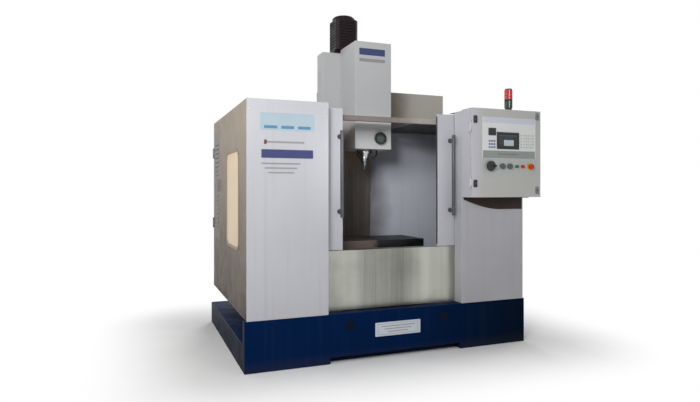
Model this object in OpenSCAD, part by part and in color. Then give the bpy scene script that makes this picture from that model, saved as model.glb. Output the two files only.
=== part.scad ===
// Vertical machining centre: a cnc milling machine with sliding front doors,
// a moving saddle and table, a belt-driven spindle head and a front control box.
// Millimetres, +Z up, the front faces -Y, the origin is on the floor under the middle of the base.

/* [Base] */
// Width of the base pan
base_w = 2500; // [2440:10:2560]
// Depth of the base pan, front to back
base_d = 1780; // [1760:5:1820]
// Height of the front apron
apron_h = 384; // [370:2:400]
// Depth of the front apron
apron_d = 80; // [60:5:100]
// Height of the deck behind the apron
deck_h = 200; // [160:5:240]
// Height of the toe recess under the apron
toe_h = 50; // [30:5:80]
// Width of the toe recess
toe_w = 1170; // [1000:10:1300]
// Plate thickness of the base pan
pan_t = 6; // [4:1:8]

/* [Bed and column] */
// Width of the bed casting
bed_w = 800; // [760:10:820]
// Height of the bed's top face
bed_top = 600; // [590:2:610]
// Height of the levelling feet
foot_h = 20; // [16:1:22]
// Distance between the anchor holes across the machine
anchor_x = 880; // [860:5:900]
// Distance between the anchor holes from front to back
anchor_y = 1120; // [1000:10:1180]
// Diameter of the anchor holes
anchor_d = 22; // [18:1:26]
// Distance from the spindle axis to the column face
throat = 540; // [530:2:550]
// Width of the column at its front face
column_w = 540; // [520:5:560]
// Height of the column's top face
column_top = 2330; // [2300:5:2360]

/* [Axes] */
// Travel of the table, left to right
x_travel = 800; // [700:10:820]
// Travel of the saddle, front to back
y_travel = 450; // [400:10:460]
// Travel of the head, up and down
z_travel = 540; // [480:10:560]
// Diameter of the ball screws
screw_d = 32; // [28:1:36]
// Diameter of the ball screw journals
journal_d = 25; // [20:1:26]
// Running clearance of shafts and pins on the radius
fit = 0.05; // [0.03:0.01:0.09]
// Clearance of carriages on their rails
slide_clear = 0.2; // [0.1:0.05:0.4]

/* [Table] */
// Length of the table
table_w = 1000; // [900:10:1060]
// Depth of the table
table_d = 450; // [420:5:470]
// Thickness of the table
table_t = 110; // [100:2:120]
// Height of the table's top face
table_top = 900; // [892:2:910]
// Width of the T-slot mouths
slot_w = 18; // [14:1:22]
// Distance between T-slots
slot_pitch = 80; // [70:1:85]

/* [Enclosure] */
// Width of the recessed bay between the front covers
bay_w = 1200; // [1180:5:1220]
// Depth of the bay behind the front covers
bay_depth = 110; // [100:2:116]
// Height of the front covers' top edge
cover_top = 2023; // [2010:1:2030]
// Inset of the enclosure from the base's sides
cover_inset = 16; // [8:1:30]
// Thickness of the sheet metal
sheet = 3; // [2:0.5:4]
// Height of the door sill
sill_z = 863; // [850:1:870]
// Height of the roof panels over the work area
roof_z = 1950; // [1945:1:1960]
// Width of the roof slot for the head
roof_slot = 730; // [720:2:760]

/* [Doors] */
// Opening between the doors when both are open
opening_w = 874; // [840:2:900]
// Width of each sliding door
door_w = 660; // [640:5:680]
// Thickness of the doors
door_t = 30; // [24:1:34]
// Length of the door handles
handle_l = 690; // [600:10:720]
// Diameter of the door handles
handle_d = 30; // [24:1:34]
// Width of the window in each door
pane_w = 380; // [340:5:400]
// Height of the window in each door
pane_h = 700; // [600:10:720]

/* [Head] */
// Distance of the spindle axis behind the machine's front
spindle_back = 705; // [700:1:715]
// Width of the head's front cover
head_w = 350; // [340:2:360]
// Depth of the head's front cover
head_d = 375; // [372:1:380]
// Height of the head's underside when fully up
nose_z = 1715; // [1705:1:1725]
// Height of the head's front cover top
head_top = 2670; // [2660:1:2690]
// Width of the head's rear cover
slide_w = 700; // [680:2:710]
// Depth of the head's rear cover
slide_d = 166; // [162:1:172]
// Size of the square spindle motor
motor_s = 220; // [210:2:226]
// Height of the spindle motor's top above the head's front cover
motor_top = 324; // [290:2:350]
// Diameter of the spindle pulley
pulley_d = 150; // [130:1:156]
// Diameter of the motor pulley
drive_d = 120; // [100:1:124]
// Diameter of the spindle shaft
spindle_d = 70; // [60:1:76]

/* [Control box] */
// Width of the control box
ctl_w = 704; // [680:2:720]
// Height of the control box
ctl_h = 744; // [720:2:760]
// Depth of the control box
ctl_d = 150; // [130:2:170]
// Height of the control box's underside
ctl_z = 1287; // [1270:1:1300]
// Thickness of the control box's hinged panel
ctl_t = 20; // [16:1:24]

/* [Electrical cabinet] */
// Height of the electrical cabinet's top
ecab_top = 2375; // [2340:5:2400]
// Position of the cabinet's left wall from the spindle's plane
ecab_x0 = 425; // [425:1:440]
// Position of the cabinet's right wall from the spindle's plane
ecab_x1 = 1156; // [1120:2:1170]
// Thickness of the cabinet's door
ecab_t = 20; // [16:1:24]

/* [Hidden] */
$fn = 48;

// Planes across and along the machine
y_f = -base_d / 2;
y_b = base_d / 2;
xi = base_w / 2 - cover_inset;
bay_x = bay_w / 2;
panel_y = y_f + bay_depth;
door_y = panel_y + 10;
rail_d = 40;
rail_y = door_y + door_t + 15;
inner_y = rail_y + rail_d;
rear_y = y_b - 64;
spin_y = y_f + spindle_back;
col_y = spin_y + throat;
col_margin = 80;
col_d = base_d - spindle_back - throat - col_margin;
col_back_w = 280;
col_square = 60;
wall_y = col_y - 15;
wall_gap = column_w / 2 + 20;

// Base and bed
bed_y0 = spin_y - y_travel / 2 - 230;
bed_y1 = col_y + col_d + 10;
bed_foot = bed_w / 2 + 80;
foot_flange = 40;
well = 30;
post_s = 60;
ecab_y0 = wall_y + sheet;
ecab_y1 = y_b - 80;
wall_post_x = 700;
rear_post_x = -900;
ecab_post_xs = [ecab_x0 + 200, ecab_x1 - 100];
ecab_post_y = ecab_y1 - 100;
foot_d = 110;

// Guide rails and carriages
guide_w = 24;
guide_h = 22;
carriage_w = 80;
carriage_low = 5;
y_guide_x = 260;
z_guide_x = 200;
x_guide_y = 150;
channel_w = 120;
yscrew_z = bed_top - 30;
zscrew_y = col_y + 50;
zscrew_d = screw_d + 8;
z_rail_run = 475;
z_rail_bot = nose_z - z_travel - z_rail_run;
bearing_wall = 40;

// Saddle and table
saddle_bot = bed_top + 40;
table_bot = table_top - table_t;
saddle_top = table_bot - 42;
saddle_run = 240;
saddle_l = x_travel / 2 + saddle_run;
saddle_d = 370;
xscrew_z = saddle_top - 42;
nut_l = 120;
table_shoe_x = 170;
table_shoe_l = 100;

// Head
head_y = spin_y - 205;
head_back = head_y + head_d;
slide_back = head_back + slide_d;
slide_bot = nose_z + 345;
root_back = col_y - 36;
root_bot = nose_z + 25;
root_top = nose_z + 535;
housing_d = 240;
cartridge_d = 120;
head_bore = 600;
motor_x = -123;
motor_y = spin_y + 225;
cover_step = 30;
slide_top = head_top - cover_step;
motor_flange = slide_top + cover_step;
pulley_z = slide_top - 125;
pulley_h = 60;
belt_gap = 0.6;
belt_t = 4;
lamp_d = 110;
lamp_x = 60;

// Spindle way cover, three plates that slide over each other
way_w = 560;
way_bot = bed_top + guide_h + 4;
way_lap = 50;
way_l = (root_bot - way_bot + 2 * way_lap) / 3;
way_t = 3;
way_step = 6;

// Doors
door_x = opening_w / 2;
door_z0 = sill_z + 3;
door_z1 = cover_top - 21;
rail_z0 = roof_z - 33;
rail_z1 = roof_z + 9;
pane_edge = 180;
pane_low = 284;
pane_high = 152;
pane_z = door_z0 + (door_z1 - door_z0 - pane_h) * pane_low / (pane_low + pane_high);
handle_low = 264;
handle_high = 182;
handle_z = door_z0 + (door_z1 - door_z0 - handle_l) * handle_low / (handle_low + handle_high);
left_handle_in = 28;
right_handle_in = 120;
handle_off = 60;

// Side panel window and service door, measured along the side
window_y = y_f + 316;
window_l = 567;
window_z = 881;
window_h = 783;
window_r = 70;
service_y0 = rear_y - 426;
service_y1 = rear_y - 26;
service_z0 = 870;
service_z1 = 1907;

latch_z = 1330;
latch_h = 120;

// Rear panel and the lubrication unit on it
rear_panel_w = 600;
lube_x = -xi + 330;
lube_z = 1100;
lube_w = 200;
lube_d = 150;
lube_h = 220;
lube_lip = 10;
lube_lid = 25;
lube_pump_d = 110;
lube_pump_h = 105;

// Hinges
knuckle_d = 14;
pin_d = 8;
knuckle_l = 60;
lug_l = 20;

// Control box
ctl_x0 = bay_x;
ctl_x1 = ctl_x0 + ctl_w;
ctl_y0 = y_f - ctl_d;
ctl_z1 = ctl_z + ctl_h;
ctl_hinge_x = ctl_x0 - 8;
ctl_hinge_y = ctl_y0 + ctl_t / 2;
stem_d = 16;
screen_w = 227;
screen_h = 143;
bezel = 15;
screen_x = ctl_x0 + 248;
screen_z = ctl_z + 407;
control_z = ctl_z + 262;
wheel_x = ctl_x0 + 176;
mode_x = ctl_x0 + 300;
feed_x = ctl_x0 + 375;
start_x = ctl_x0 + 450;
hold_x = ctl_x0 + 510;
estop_x = ctl_x0 + 591;
stack_x = ctl_x0 + 450;
stack_y = y_f - 40;
lens_hs = [66, 87];
lens_zs = [ctl_z1 + 30, ctl_z1 + 38 + lens_hs[0]];
ctl_hinge_zs = [ctl_z + 100, ctl_z + ctl_h - 180];
service_hinge_zs = [service_z0 + 120, service_z1 - 220];
ecab_hinge_zs = [apron_h + 250, ecab_top - 350];
ecab_hinge_x = ecab_x1 + 8;
ecab_hinge_y = ecab_y1 + ecab_t / 2;
service_hinge_x = -xi - 8;
inlet_y = ecab_y0 + 120;
inlet_z = apron_h + 120;
inlet_d = 32;
inlet_l = 34;
isolator_x = ecab_x0 + 110;
isolator_z = 1500;

// Shared shapes

module box(x0, x1, y0, y1, z0, z1) {
    translate([x0, y0, z0]) cube([x1 - x0, y1 - y0, z1 - z0]);
}

module rod_z(x, y, z0, z1, d) {
    translate([x, y, z0]) cylinder(h = z1 - z0, d = d);
}

module rod_y(x, z, y0, y1, d) {
    translate([x, y0, z]) rotate([-90, 0, 0]) cylinder(h = y1 - y0, d = d);
}

module rod_x(y, z, x0, x1, d) {
    translate([x0, y, z]) rotate([0, 90, 0]) cylinder(h = x1 - x0, d = d);
}

module both_sides() {
    children();
    mirror([1, 0, 0]) children();
}

module rounded_rect(w, h, r) {
    translate([r, 0]) square([w - 2 * r, h]);
    translate([0, r]) square([w, h - 2 * r]);
    for (x = [r, w - r], y = [r, h - r]) translate([x, y]) circle(r);
}

// A plate with rounded corners that stands across X, from a corner at y, z
module side_plate(x0, x1, y, z, w, h, r) {
    translate([x0, y, z]) rotate([90, 0, 90]) linear_extrude(x1 - x0) rounded_rect(w, h, r);
}

// A square motor with cut corners that stands along Z
module square_motor(s, h, cut) {
    a = s / 2;
    b = a - cut;
    linear_extrude(h) polygon([[-b, -a], [b, -a], [a, -b], [a, b], [b, a], [-b, a], [-a, b], [-a, -b]]);
}

// The fixed half of a hinge: a pin with a lug at each end
module hinge_pin(x, y, z) {
    rod_z(x, y, z - lug_l, z + knuckle_l + lug_l, pin_d);
    rod_z(x, y, z - lug_l, z - 0.5, knuckle_d);
    rod_z(x, y, z + knuckle_l + 0.5, z + knuckle_l + lug_l, knuckle_d);
}

// The bore that a knuckle turns on
module hinge_bore(x, y, z) {
    rod_z(x, y, z - 1, z + knuckle_l + 1, pin_d + 2 * fit);
}

module hinge_knuckle(x, y, z) {
    rod_z(x, y, z, z + knuckle_l, knuckle_d);
}

// Fixed structure

// A closed tank round the bed, with a raised front apron and a toe recess under it
module base_pan() {
    t = pan_t;
    x = base_w / 2;
    color("#0c2348") difference() {
        union() {
            box(-x, x, y_f, y_b, 0, deck_h);
            box(-x, x, y_f, y_f + apron_d, 0, apron_h);
        }
        base_cuts(0);
        difference() {
            union() {
                box(-x + t, x - t, y_f + t, y_b - t, t, deck_h - t);
                box(-x + t, x - t, y_f + t, y_f + apron_d - t, t, apron_h - t);
            }
            base_cuts(t);
        }
    }
}

// The bed's well and the toe recess, grown by a wall
module base_cuts(wall) {
    box(-bed_foot - wall, bed_foot + wall, bed_y0 - well - wall, bed_y1 + well + wall, -1, apron_h);
    box(-toe_w / 2 - wall, toe_w / 2 + wall, y_f - 1, y_f + apron_d + wall, -1, toe_h + wall);
}

// A post that stands on the base's deck under a panel
module post(x, y) {
    box(x - post_s / 2, x + post_s / 2, y - post_s / 2, y + post_s / 2, deck_h, apron_h);
}

module bed() {
    color("#5c6168") difference() {
        union() {
            box(-bed_w / 2, bed_w / 2, bed_y0, bed_y1, foot_h, bed_top);
            box(-bed_foot, bed_foot, bed_y0, bed_y1, foot_h, foot_h + foot_flange);
        }
        box(-channel_w / 2, channel_w / 2, bed_y0 + bearing_wall, col_y - 45, bed_top - 80, bed_top + 1);
        rod_y(0, yscrew_z, bed_y0 - 1, bed_y0 + bearing_wall + 1, journal_d + 2 * fit);
        rod_y(0, yscrew_z, col_y - 46, col_y - 15, journal_d + 2 * fit);
        for (sx = [-1, 1], sy = [-1, 1])
            rod_z(sx * anchor_x / 2, sy * anchor_y / 2, foot_h - 1, foot_h + foot_flange + 1, anchor_d);
    }
}

module levelling_feet() {
    color("#3a3c40")
        for (x = [-1, 1], y = [bed_y0 + 170, (bed_y0 + bed_y1) / 2, bed_y1 - 100])
            translate([x * (bed_w / 2 - 60), y, 0]) {
                cylinder(h = foot_h * 0.45, d = foot_d);
                cylinder(h = foot_h, d = foot_d / 3);
            }
}

module column() {
    a = column_w / 2;
    b = col_back_w / 2;
    color("#b4b6b6") difference() {
        union() {
            translate([0, 0, bed_top]) linear_extrude(column_top - bed_top)
                polygon([
                    [-a, col_y], [a, col_y], [a, col_y + col_square],
                    [b, col_y + col_d], [-b, col_y + col_d], [-a, col_y + col_square]
                ]);
            box(-a - 50, a + 50, col_y, col_y + col_d, bed_top, bed_top + 60);
        }
        box(-channel_w / 2, channel_w / 2, col_y - 1, col_y + 100, bed_top + 100, column_top - 60);
        rod_z(0, zscrew_y, bed_top + 70, bed_top + 101, journal_d + 2 * fit);
        rod_z(0, zscrew_y, column_top - 61, column_top + 1, journal_d + 2 * fit);
    }
}

module guide_rails() {
    g = guide_w / 2;
    color("#9a9da0") both_sides() {
        box(y_guide_x - g, y_guide_x + g, bed_y0 + 20, col_y - 5, bed_top, bed_top + guide_h);
        box(z_guide_x - g, z_guide_x + g, col_y - guide_h, col_y, z_rail_bot, column_top - 20);
    }
}

module axis_servos() {
    color("#26262a") difference() {
        union() {
            translate([0, bed_y0, yscrew_z]) rotate([90, 0, 0]) square_motor(116, 118, 14);
            translate([0, zscrew_y, column_top]) square_motor(150, 40, 4);
            translate([0, zscrew_y, column_top + 39]) square_motor(140, 190, 18);
            translate([0, zscrew_y, column_top + 228]) square_motor(100, 60, 12);
        }
        rod_y(0, yscrew_z, bed_y0 - 30, bed_y0 + 1, journal_d + 2 * fit);
        rod_z(0, zscrew_y, column_top - 1, column_top + 30, journal_d + 2 * fit);
    }
}

// Enclosure

module front_cover() {
    box(bay_x, xi, y_f, y_f + sheet, apron_h, cover_top);
    box(bay_x, bay_x + sheet, y_f, panel_y + sheet, apron_h, cover_top);
    box(bay_x, xi, y_f, inner_y, cover_top - sheet, cover_top);
}

module left_cover() {
    color("#c8c9ce") mirror([1, 0, 0]) front_cover();
}

module right_cover() {
    color("#c8c9ce") front_cover();
}

module left_side_panel() {
    color("#968c82") difference() {
        union() {
            box(-xi, -xi + sheet, y_f + sheet, rear_y, apron_h, cover_top - sheet);
            for (z = service_hinge_zs) {
                hinge_pin(service_hinge_x, service_y1, z);
                for (e = [z - lug_l, z + knuckle_l + 0.5])
                    box(-xi - 12, -xi, service_y1, service_y1 + 22, e, e + lug_l - 0.5);
            }
        }
        side_plate(-xi - 1, -xi + sheet + 1, window_y, window_z, window_l, window_h, window_r);
        box(-xi - 1, -xi + sheet + 1, service_y0, service_y1 - 0.5, service_z0, service_z1);
    }
}

module left_window() {
    color("#dec9ae")
        side_plate(-xi - 1, -xi + sheet + 2, window_y + 0.3, window_z + 0.3,
            window_l - 0.6, window_h - 0.6, window_r);
}

module right_side_panel() {
    color("#968c82") difference() {
        box(xi - sheet, xi, y_f + sheet, wall_y + sheet, apron_h, cover_top - sheet);
        for (i = [0:7])
            side_plate(xi - sheet - 1, xi + 1, wall_y - 420, 700 + i * 45, 300, 14, 6);
    }
}

module rear_wall() {
    color("#83878f") both_sides() {
        difference() {
            box(wall_gap, xi - sheet, wall_y, wall_y + sheet, apron_h, roof_z);
            box(0, bed_w / 2 + 0.5, wall_y - 1, wall_y + sheet + 1, 0, bed_top + 0.5);
        }
        post(wall_post_x, wall_y);
    }
}

module roof_panels() {
    a = xi - sheet;
    b = roof_slot / 2;
    slot_y = head_y - 50;
    color("#a5a6a8") translate([0, 0, roof_z]) linear_extrude(sheet)
        polygon([
            [-a, inner_y], [a, inner_y], [a, wall_y + sheet], [b, wall_y + sheet],
            [b, slot_y], [-b, slot_y], [-b, wall_y + sheet], [-a, wall_y + sheet]
        ]);
}

module lower_panel() {
    color("#a8a9a3") union() {
        box(-bay_x, bay_x, panel_y, panel_y + sheet, apron_h, sill_z);
        box(-bay_x, bay_x, panel_y, inner_y, sill_z - sheet, sill_z);
        box(-bay_x, bay_x, inner_y - sheet, inner_y, sill_z - 60, sill_z);
    }
}

module inner_front() {
    color("#a1a0a5") both_sides()
        box(bay_x, xi - sheet, inner_y - sheet, inner_y, apron_h, rail_z0);
}

module header_rail() {
    color("#8d8f93") difference() {
        box(-xi + sheet, xi - sheet, rail_y, inner_y, rail_z0, rail_z1);
        box(-xi, xi, rail_y + 4, inner_y - 4, rail_z0 - 1, rail_z1 - 4);
    }
}

module rear_left_panel() {
    x1 = -xi + rear_panel_w;
    color("#968c82") union() {
        box(-xi + sheet, x1, rear_y - sheet, rear_y, apron_h, cover_top - sheet);
        box(x1 - sheet, x1, rear_y - post_s, rear_y, apron_h, cover_top - sheet);
        post(rear_post_x, rear_y - post_s / 2);
    }
}

module electrical_cabinet() {
    t = sheet;
    color("#9e9d98") difference() {
        union() {
            difference() {
                box(ecab_x0, ecab_x1, ecab_y0, ecab_y1, apron_h, ecab_top);
                box(ecab_x0 + t, ecab_x1 - t, ecab_y0 + t, ecab_y1 + 1, apron_h + t, ecab_top - t);
            }
            box(ecab_x0 + 60, ecab_x1 - 60, ecab_y0 + t, ecab_y0 + 40, apron_h + 120, ecab_top - 120);
            for (z = ecab_hinge_zs) {
                hinge_pin(ecab_hinge_x, ecab_hinge_y, z);
                for (e = [z - lug_l, z + knuckle_l + 0.5])
                    box(ecab_x1, ecab_x1 + 12, ecab_y1 - 30, ecab_hinge_y, e, e + lug_l - 0.5);
            }
            rod_x(inlet_y, inlet_z, ecab_x1 - t, ecab_x1 + inlet_l, inlet_d + 22);
            for (x = ecab_post_xs) post(x, ecab_post_y);
        }
        rod_x(inlet_y, inlet_z, ecab_x1 - t - 1, ecab_x1 + inlet_l + 1, inlet_d);
    }
}

module lube_unit() {
    x = lube_x - lube_w / 2;
    y = rear_y - sheet;
    lid_z = lube_z + lube_h;
    lid_top = lid_z + lube_lid;
    color("#d8d4c4") union() {
        box(x, x + lube_w, y - lube_d, y, lube_z, lid_z);
        box(x - lube_lip, x + lube_w + lube_lip, y - lube_d - lube_lip, y, lid_z, lid_top);
        rod_z(lube_x, y - (lube_d + lube_lip) / 2, lid_top, lid_top + lube_pump_h, lube_pump_d);
    }
}

module control_box() {
    t = sheet;
    y0 = ctl_y0 + ctl_t + 0.5;
    color("#b9b8be") difference() {
        union() {
            difference() {
                box(ctl_x0, ctl_x1, y0, y_f, ctl_z, ctl_z1);
                box(ctl_x0 + t, ctl_x1 - t, y0 - 1, y_f - t, ctl_z + t, ctl_z1 - t);
            }
            for (z = ctl_hinge_zs) {
                hinge_pin(ctl_hinge_x, ctl_hinge_y, z);
                for (e = [z - lug_l, z + knuckle_l + 0.5])
                    box(ctl_x0 - 12, ctl_x0, ctl_hinge_y, y0 + 22, e, e + lug_l - 0.5);
            }
        }
    }
}

module stack_post() {
    color("#2b2c30") union() {
        rod_z(stack_x, stack_y, ctl_z1, ctl_z1 + 12, 78);
        rod_z(stack_x, stack_y, ctl_z1, lens_zs[0], 60);
        rod_z(stack_x, stack_y, lens_zs[0] + lens_hs[0], lens_zs[1], 70);
        rod_z(stack_x, stack_y, lens_zs[1] + lens_hs[1], lens_zs[1] + lens_hs[1] + 8, 62);
        for (i = [0, 1])
            rod_z(stack_x, stack_y, lens_zs[i] - 1, lens_zs[i] + lens_hs[i] + 1, 20);
    }
}

module stack_lenses() {
    color("#c83c46") for (i = [0, 1]) difference() {
        rod_z(stack_x, stack_y, lens_zs[i], lens_zs[i] + lens_hs[i], 68);
        rod_z(stack_x, stack_y, lens_zs[i] - 1, lens_zs[i] + lens_hs[i] + 1, 56);
    }
}

// Spindle way cover plates

module way_plate(n) {
    y = col_y - 26 - way_t - n * way_step;
    z = way_bot + n * (way_l - way_lap);
    box(-way_w / 2, way_w / 2, y, y + way_t, z, z + way_l);
    if (n > 0) box(-way_w / 2, way_w / 2, y, y + way_step - slide_clear, z, z + 12);
}

module z_cover_low() {
    color("#17171a") union() {
        way_plate(0);
        box(-column_w / 2, column_w / 2, col_y - 27, col_y, way_bot, way_bot + 30);
    }
}

module z_cover_mid() {
    color("#1c1c20") way_plate(1);
}

module z_cover_top() {
    y = col_y - 26 - 2 * way_step;
    color("#1f1f23") union() {
        way_plate(2);
        box(-200, 200, y - 60, y, root_bot - way_t, root_bot);
    }
}

// Saddle and table

module saddle() {
    y0 = spin_y - saddle_d / 2;
    y1 = spin_y + saddle_d / 2;
    color("#5c6168") difference() {
        union() {
            box(-340, 340, y0, y1, saddle_bot, saddle_bot + 60);
            box(-saddle_l, saddle_l, y0, y1, saddle_bot + 20, saddle_top);
            for (sx = [-1, 1], sy = [-1, 1])
                box(sx * y_guide_x - carriage_w / 2, sx * y_guide_x + carriage_w / 2,
                    spin_y + sy * 120 - 60, spin_y + sy * 120 + 60, bed_top + carriage_low, saddle_bot + 1);
            box(-45, 45, spin_y - nut_l / 2, spin_y + nut_l / 2, yscrew_z - 32, saddle_bot + 1);
        }
        for (sx = [-1, 1])
            box(sx * y_guide_x - guide_w / 2 - slide_clear, sx * y_guide_x + guide_w / 2 + slide_clear,
                y0 - 1, y1 + 1, bed_top - 1, bed_top + guide_h + slide_clear);
        rod_y(0, yscrew_z, spin_y - nut_l, spin_y + nut_l, screw_d + 2 * fit);
        box(-saddle_l + bearing_wall, saddle_l - bearing_wall, spin_y - 50, spin_y + 50,
            xscrew_z - 36, saddle_top + 1);
        rod_x(spin_y, xscrew_z, -saddle_l - 1, saddle_l + 1, journal_d + 2 * fit);
    }
}

module x_rails() {
    color("#9a9da0") for (s = [-1, 1])
        box(-saddle_l, saddle_l, spin_y + s * x_guide_y - guide_w / 2, spin_y + s * x_guide_y + guide_w / 2,
            saddle_top, saddle_top + guide_h);
}

module x_servo() {
    color("#26262a") difference() {
        translate([saddle_l, spin_y, xscrew_z]) rotate([0, 90, 0]) square_motor(104, 150, 14);
        rod_x(spin_y, xscrew_z, saddle_l - 1, saddle_l + 30, journal_d + 2 * fit);
    }
}

module table() {
    y0 = spin_y - table_d / 2;
    y1 = spin_y + table_d / 2;
    color("#3f4145") difference() {
        union() {
            box(-table_w / 2, table_w / 2, y0, y1, table_bot, table_top);
            for (sx = [-1, 1], sy = [-1, 1])
                box(sx * table_shoe_x - table_shoe_l / 2, sx * table_shoe_x + table_shoe_l / 2,
                    spin_y + sy * x_guide_y - carriage_w / 2,
                    spin_y + sy * x_guide_y + carriage_w / 2, saddle_top + carriage_low, table_bot + 1);
            box(-nut_l / 2, nut_l / 2, spin_y - 42, spin_y + 42, xscrew_z - 30, table_bot + 1);
        }
        for (i = [-2:2]) {
            y = spin_y + i * slot_pitch;
            box(-table_w, table_w, y - slot_w / 2, y + slot_w / 2, table_top - 24, table_top + 1);
            box(-table_w, table_w, y - slot_w * 0.83, y + slot_w * 0.83, table_top - 38, table_top - 23);
        }
        for (s = [-1, 1])
            box(-table_w, table_w, spin_y + s * x_guide_y - guide_w / 2 - slide_clear,
                spin_y + s * x_guide_y + guide_w / 2 + slide_clear,
                saddle_top - 1, saddle_top + guide_h + slide_clear);
        rod_x(spin_y, xscrew_z, -nut_l, nut_l, screw_d + 2 * fit);
    }
}

module x_screw() {
    e = saddle_l - bearing_wall - 2;
    color("#b9bbbd") union() {
        rod_x(spin_y, xscrew_z, -e, e, screw_d);
        rod_x(spin_y, xscrew_z, -saddle_l + 2, saddle_l + 25, journal_d);
    }
}

module y_screw() {
    color("#b9bbbd") union() {
        rod_y(0, yscrew_z, bed_y0 + bearing_wall + 2, col_y - 47, screw_d);
        rod_y(0, yscrew_z, bed_y0 - 25, col_y - 20, journal_d);
    }
}

module z_screw() {
    color("#b9bbbd") union() {
        rod_z(0, zscrew_y, bed_top + 102, column_top - 62, zscrew_d);
        rod_z(0, zscrew_y, bed_top + 75, column_top + 25, journal_d);
    }
}

// Head

module head_casting() {
    arm = 140;
    root = 235;
    z_zs = [root_bot + 20, root_top - 160];
    color("#b4b6b6") difference() {
        union() {
            rod_z(0, spin_y, nose_z + sheet, nose_z + 515, housing_d);
            box(-arm, arm, spin_y, slide_back, nose_z + 45, nose_z + 505);
            box(-root, root, slide_back - 26, root_back, root_bot, root_top);
            box(-root, 20, slide_back - 26, slide_back - sheet, root_top - 1, slide_top - sheet);
            box(motor_x - 112, motor_x + 112, head_back + sheet + 2, slide_back - sheet,
                slide_top - 33, slide_top - sheet);
            for (sx = [-1, 1], z = z_zs)
                box(sx * z_guide_x - carriage_w / 2, sx * z_guide_x + carriage_w / 2,
                    root_back - 1, col_y - carriage_low, z, z + 140);
            box(-45, 45, root_back - 1, zscrew_y + 36, nose_z + 200, nose_z + 320);
        }
        rod_z(0, spin_y, nose_z - 1, nose_z + head_bore, cartridge_d);
        for (sx = [-1, 1])
            box(sx * z_guide_x - guide_w / 2 - slide_clear, sx * z_guide_x + guide_w / 2 + slide_clear,
                col_y - guide_h - slide_clear, col_y + 1, 0, root_top + 100);
        rod_z(0, zscrew_y, nose_z, nose_z + head_bore, zscrew_d + 2 * fit);
        rod_z(motor_x, motor_y, slide_top - 40, slide_top, 80);
    }
}

module head_cover() {
    a = head_w / 2;
    color("#b5b6b8") difference() {
        box(-a, a, head_y, head_back, nose_z, head_top);
        box(-a + sheet, a - sheet, head_y + sheet, head_back + 1, nose_z + sheet, head_top - sheet);
        rod_z(0, spin_y, nose_z - 1, nose_z + sheet + 1, cartridge_d + 30);
    }
}

module head_slide_cover() {
    a = slide_w / 2;
    b = head_w / 2 - sheet;
    color("#b7b7b2") difference() {
        box(-a, a, head_back, slide_back, slide_bot, slide_top);
        box(-a + sheet, a - sheet, head_back + sheet, slide_back + 1, slide_bot - 1, slide_top - sheet);
        box(-b, b, head_back - 1, head_back + sheet + 1, slide_bot - 1, slide_top - cover_step);
        rod_z(motor_x, motor_y, slide_top - 10, slide_top + 1, 80);
    }
}

module spindle_motor() {
    a = motor_s / 2;
    top = motor_flange + motor_top;
    body_h = motor_top * 0.88;
    color("#28212c") difference() {
        union() {
            box(motor_x - a, motor_x + a, head_back + sheet, slide_back, slide_top, motor_flange);
            translate([motor_x, motor_y, motor_flange]) square_motor(motor_s, body_h, 26);
            rod_z(motor_x, motor_y, motor_flange + body_h - 1, top - 12, motor_s - 6);
            rod_z(motor_x, motor_y, top - 13, top, motor_s - 36);
        }
        for (i = [1:9], k = [0:3])
            translate([motor_x, motor_y, motor_flange]) rotate([0, 0, k * 90])
                box(-a + 34, a - 34, a - 8, a + 1, i * body_h / 10.5, i * body_h / 10.5 + 12);
        rod_z(motor_x, motor_y, slide_top - 1, slide_top + 60, 38 + 2 * fit);
    }
}

module motor_pulley() {
    color("#8e9093") union() {
        rod_z(motor_x, motor_y, pulley_z, pulley_z + pulley_h, drive_d);
        rod_z(motor_x, motor_y, pulley_z, slide_top + 55, 38);
        rod_z(motor_x, motor_y, pulley_z - 4, pulley_z, drive_d + 6);
    }
}

// The area inside a loop round two circles, with c between their centres along X
module loop_solid(r1, r2, c, h) {
    linear_extrude(h) hull() {
        circle(r1, $fn = 64);
        translate([c, 0]) circle(r2, $fn = 64);
    }
}

module drive_belt() {
    r1 = pulley_d / 2 + belt_gap;
    r2 = drive_d / 2 + belt_gap;
    c = norm([motor_x, motor_y - spin_y]);
    color("#1b1b1d") translate([0, spin_y, pulley_z + 8])
        rotate([0, 0, atan2(motor_y - spin_y, motor_x)]) difference() {
            loop_solid(r1 + belt_t, r2 + belt_t, c, pulley_h - 16);
            translate([0, 0, -1]) loop_solid(r1, r2, c, pulley_h - 14);
        }
}

module spindle_cartridge() {
    color("#a7a9ac") difference() {
        union() {
            rod_z(0, spin_y, nose_z - 32, nose_z + sheet, cartridge_d + 20);
            rod_z(0, spin_y, nose_z - 60, nose_z - 31, cartridge_d - 10);
            rod_z(0, spin_y, nose_z, nose_z + 240, cartridge_d - 2 * fit);
        }
        rod_z(0, spin_y, nose_z - 61, nose_z + 241, spindle_d + 2 * fit);
    }
}

module spindle_shaft() {
    color("#c4c6c8") union() {
        rod_z(0, spin_y, nose_z - 75, nose_z - 61, 88);
        rod_z(0, spin_y, nose_z - 75, pulley_z + pulley_h + 6, spindle_d);
        rod_z(0, spin_y, pulley_z, pulley_z + pulley_h, pulley_d);
        rod_z(0, spin_y, pulley_z - 4, pulley_z, pulley_d + 6);
    }
}

module tool_holder() {
    color("#8b8d90") difference() {
        union() {
            rod_z(0, spin_y, nose_z - 97, nose_z - 75, 80);
            rod_z(0, spin_y, nose_z - 140, nose_z - 96, 50);
            rod_z(0, spin_y, nose_z - 175, nose_z - 139, 16);
        }
        rotate_extrude_groove(nose_z - 90, 80, 7);
    }
}

// A square groove turned into a rim on the spindle axis
module rotate_extrude_groove(z, d, w) {
    difference() {
        rod_z(0, spin_y, z, z + w, d + 2);
        rod_z(0, spin_y, z - 1, z + w + 1, d - 14);
    }
}

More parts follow.
